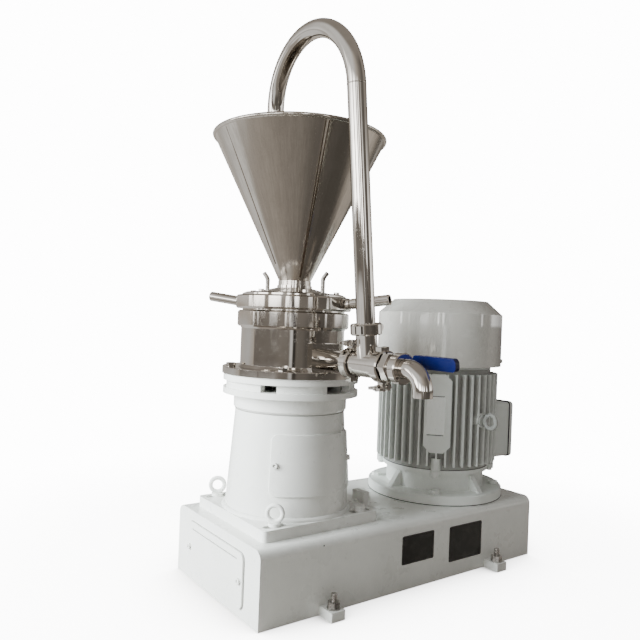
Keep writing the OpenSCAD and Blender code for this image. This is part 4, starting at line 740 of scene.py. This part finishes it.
weld_steel = dull_steel("weld_tint", (0.21, 0.165, 0.125), (0.10, 0.075, 0.055), 0.34, scale=240.0)
beat = np.sin(np.arange(WELD_POINTS) * WELD_BEAT)
weld_wide, weld_high = WELD_WIDE[0] + WELD_WIDE[1] * beat, WELD_HIGH[0] + WELD_HIGH[1] * beat
welds = [
    bead(*down_cone(turn, *WELD_Z, WELD_POINTS), weld_wide, weld_high, closed=False)
    for turn in WELD_TURNS
]
welds.append(bead(*down_cone(CREASE_TURN, *CREASE_Z, CREASE_POINTS), *CREASE_SIZE, closed=False))
made("hopper_weld", *gathered(welds), weld_steel, "stator_lift", "hopper_steel")

# --- Discharge and return pipe ------------------------------------------------------------------
# Polished sanitary tube: outlet, three-way valve, adapter and spout, joined by hinged clamps with
# wing nuts over white gaskets. The return pipe is one bent tube that hangs into the hopper.
PIPE_R, PIPE_LEAN, RISER_Y, LEG_Y = 0.016, math.radians(5.7), -0.227, 0.019
PIPE_TOP = np.array([-0.2453, 0.0, 0.8897])
RING_SIZE, RING_POINTS = (0.0012, 0.0003), 48


def moulded(name, colour, worn, gloss):
    """Moulded or dipped plastic and rubber: a slight change of tone, dust and a fine grain."""
    look, tree, shader, where = surface_tree(name)
    dust = span(tree, noise(tree, where, 45.0, 4.0), 0.40, 0.80)
    tree.links.new(blend(tree, dust, (*colour, 1.0), (*worn, 1.0)), shader.inputs["Base Color"])
    rough = span(tree, noise(tree, where, 70.0), 0.3, 0.8, gloss, gloss + 0.15)
    tree.links.new(rough, shader.inputs["Roughness"])
    bumped(tree, shader, noise(tree, where, 500.0, 2.0), 0.10, 0.0005)
    return look


def painted(node, look):
    """A solid that keeps its own mesh and gets a finish."""
    solids[node].data.materials.clear()
    solids[node].data.materials.append(look)


for name in ("outlet_pipe", "valve_body", "return_pipe", "outlet_adapter", "spout", "spout_nut",
             "clamp_bands", "clamp_bolts", "wing_nuts", "valve_lever"):
    skin(name, tube_steel, edge=0.0004, smooth=38.0)

white_rubber = moulded("white_gasket", (0.78, 0.78, 0.75), (0.68, 0.67, 0.63), gloss=0.45)
blue_dip = moulded("blue_dip", (0.0005, 0.0028, 0.036), (0.0008, 0.0038, 0.045), gloss=0.30)
skin("lever_grip", blue_dip, edge=0.0022, steps=4)
painted("pipe_gaskets", white_rubber)
painted("valve_ball", tube_steel)

ring_steel = dull_steel("pipe_weld", (0.54, 0.51, 0.47), (0.42, 0.39, 0.35), gloss=0.24)
pipe_side = np.array([math.cos(PIPE_LEAN), 0.0, math.sin(PIPE_LEAN)])
ring_out = all_round(RING_POINTS)
ring_out = ring_out[:, :1] * pipe_side + ring_out[:, 1:2] * [0.0, 1.0, 0.0]
rings = gathered([
    bead(PIPE_TOP + [0.0, y, 0.0] + ring_out * PIPE_R, ring_out, *RING_SIZE)
    for y in (RISER_Y, LEG_Y)
])
made("pipe_weld_rings", *rings, ring_steel, "stand", "polished_steel")

# --- Motor --------------------------------------------------------------------------------------
# A cast flange motor standing on its flange, with tall cooling fins, a chamfered pad for a plate, a
# terminal box and a sheet fan cowl. Castings are satin grey enamel, the cowl a lighter gloss grey.
MOTOR_X, FIN_FOOT_R, FIN_TIP_R = 0.205, 0.117, 0.134
MOTOR_GREY, MOTOR_SHADE = (0.78, 0.805, 0.77), (0.70, 0.725, 0.69)
SATIN = {"gloss": 0.42, "coat": 0.08, "ripple": 0.16}
PAD_TURN, PAD_R = math.radians(225.0), 0.134
TAG_ACROSS, TAG_Z, TAG_W, TAG_H, TAG_CORNER = -0.004, 0.3145, 0.038, 0.080, 0.001
TAG_STEPS = [(0, 0), (0, 0.0006), (0.0004, 0.0009)]
# A dark sheet under the plate that shows above and below it: painted shadow lines at its edges
PLATE_SHADOW_W, PLATE_SHADOW_H, PLATE_SHADOW_CORNER = 0.035, 0.0834, 0.0006
PLATE_SHADOW_STEPS = [(0, -0.0003), (0, 0.00025)]
# Radius and height of each dark ring painted as the shadow in a joint
MOTOR_JOINT_SHADOWS = [(0.1500, 0.1307), (0.1180, 0.1970)]
JOINT_SHADOW_SIZE, JOINT_SHADOW_POINTS = (0.0008, 0.0008), 180
LID_X, LID_Z, LID_W, LID_H, LID_CORNER = 0.403, 0.260, 0.104, 0.130, 0.008
# A dark bead round the terminal lid: painted shadow at the lid's edge
LID_SHADOW_PAST, LID_SHADOW_SIZE, LID_SHADOW_POINTS = 0.002, (0.0013, 0.0013), 160


def on_pad(points):
    """Carries a drawing of width, height and depth onto the motor's flat pad."""
    out = np.array([math.cos(PAD_TURN), math.sin(PAD_TURN), 0.0])
    across = np.array([-math.sin(PAD_TURN), math.cos(PAD_TURN), 0.0])
    middle = np.array([MOTOR_X, 0.0, TAG_Z]) + out * PAD_R + across * TAG_ACROSS
    up = np.array([0.0, 0.0, 1.0])
    return middle + points[:, :1] * across + points[:, 1:2] * up + points[:, 2:] * out


motor_grey = enamel("motor_enamel", MOTOR_GREY, MOTOR_SHADE, **SATIN)
# The fin enamel is darker towards the fin roots: painted shade between the fins
fin_grey_gap_shaded = enamel("fin_enamel_gap_shade", MOTOR_GREY, MOTOR_SHADE, **SATIN,
                  roots=(MOTOR_X, FIN_FOOT_R, FIN_TIP_R))
cowl_grey = enamel("cowl_enamel", (0.72, 0.71, 0.665), (0.67, 0.66, 0.615), gloss=0.24, coat=1.0,
                   ripple=0.02, coat_index=2.6, coat_gloss=0.02)
# The eyebolt gets the motor grey made darker: painted shade, as it stands out into the light
eyebolt_shaded_grey = enamel("eyebolt_shaded_enamel", (0.42, 0.43, 0.41), (0.36, 0.37, 0.35), **SATIN)
tag_grey = enamel("plate_enamel", (0.92, 0.94, 0.91), (0.86, 0.88, 0.85), **SATIN)
# Black rubber of the belts, also used for the painted shadow round the terminal lid
black_rubber = moulded("black_rubber", (0.012, 0.012, 0.012), (0.03, 0.03, 0.028), gloss=0.6)
black_moulding = moulded("black_moulding", (0.014, 0.014, 0.014), (0.03, 0.03, 0.03), gloss=0.42)
skin("motor_flange", motor_grey, edge=0.0012)
skin("motor_frame", fin_grey_gap_shaded, edge=0.0008)
skin("motor_rear_bracket", motor_grey, edge=0.0008)
skin("motor_eyebolt", eyebolt_shaded_grey, edge=0.0006, smooth=50.0)
skin("motor_flange_bolts", motor_grey, edge=0.0008)
skin("motor_tie_bolts", motor_grey, edge=0.0006)
skin("fan_cowl", cowl_grey, edge=0.0012)
skin("terminal_box", motor_grey, edge=0.0016)
skin("terminal_lid", motor_grey, edge=0.0016)
skin("cable_gland", black_moulding, edge=0.0006)

tag, tag_faces = slab(TAG_W, TAG_H, TAG_CORNER, TAG_STEPS)
made("bare_motor_plate", on_pad(tag), tag_faces, tag_grey, "stand", "motor_paint")
# The dark sheet behind the plate paints the shadow along its top and bottom edges
plate_shadow, plate_shadow_faces = slab(PLATE_SHADOW_W, PLATE_SHADOW_H, PLATE_SHADOW_CORNER, PLATE_SHADOW_STEPS)
made("motor_plate_shadow", on_pad(plate_shadow), plate_shadow_faces, black_plate_and_shadow, "stand", "motor_paint")
# Dark rings at the flange foot and the frame joint: painted shadow in the gaps
round_out = all_round(JOINT_SHADOW_POINTS)
joint_shadows = gathered([
    bead(round_out * r + [MOTOR_X, 0.0, z], round_out, *JOINT_SHADOW_SIZE) for r, z in MOTOR_JOINT_SHADOWS
])
made("motor_joint_shadows", *joint_shadows, black_plate_and_shadow, "stand", "motor_paint")
# The dark bead round the lid is painted shadow at its edge
lid_shadow = rounded_outline(LID_W + LID_SHADOW_PAST, LID_H + LID_SHADOW_PAST, LID_CORNER)
lid_shadow = resampled(lid_shadow, LID_SHADOW_POINTS)
lid_shadow_out = lid_shadow / np.linalg.norm(lid_shadow, axis=1, keepdims=True)
lid_shadow_out = np.column_stack([np.zeros(LID_SHADOW_POINTS), lid_shadow_out])
lid_shadow = np.column_stack([np.full(LID_SHADOW_POINTS, LID_X), lid_shadow[:, 0], LID_Z + lid_shadow[:, 1]])
made("lid_shadow_line", *bead(lid_shadow, lid_shadow_out, *LID_SHADOW_SIZE), black_rubber, "stand", "black_rubber")

# --- Working pieces inside ----------------------------------------------------------------------
# Shafts, bearings, seal, toothed grinding cones, pulleys and belts, and the motor's core and fan.
# They are turned, ground or wound pieces that show only where a cover is taken off.
bright_steel = dull_steel("turned_steel", (0.60, 0.60, 0.60), (0.46, 0.45, 0.44), gloss=0.22)
tool_steel = dull_steel("ground_tool_steel", (0.50, 0.50, 0.51), (0.36, 0.36, 0.36), gloss=0.28)
dark_steel = dull_steel("dark_steel", (0.26, 0.25, 0.24), (0.09, 0.085, 0.08), gloss=0.30)
winding = dull_steel("winding", (0.50, 0.24, 0.10), (0.30, 0.14, 0.06), gloss=0.35, scale=160.0)
carbon = moulded("seal_carbon", (0.03, 0.03, 0.032), (0.05, 0.05, 0.05), gloss=0.35)
for name in ("mill_bearings", "motor_bearings", "mill_shaft", "motor_shaft"):
    painted(name, bright_steel)
for name in ("grinding_rotor", "grinding_stator"):
    skin(name, tool_steel, edge=0.0)
for name in ("bearing_caps", "mill_pulley", "motor_pulley", "rotor_core"):
    painted(name, dark_steel)
for name in ("stator_carrier", "rotor_cap"):
    painted(name, head_steel)
for name in ("seal_seat", "seal_ring"):
    painted(name, carbon)
painted("drive_belts", black_rubber)
painted("cooling_fan", black_moulding)
painted("motor_stator", winding)
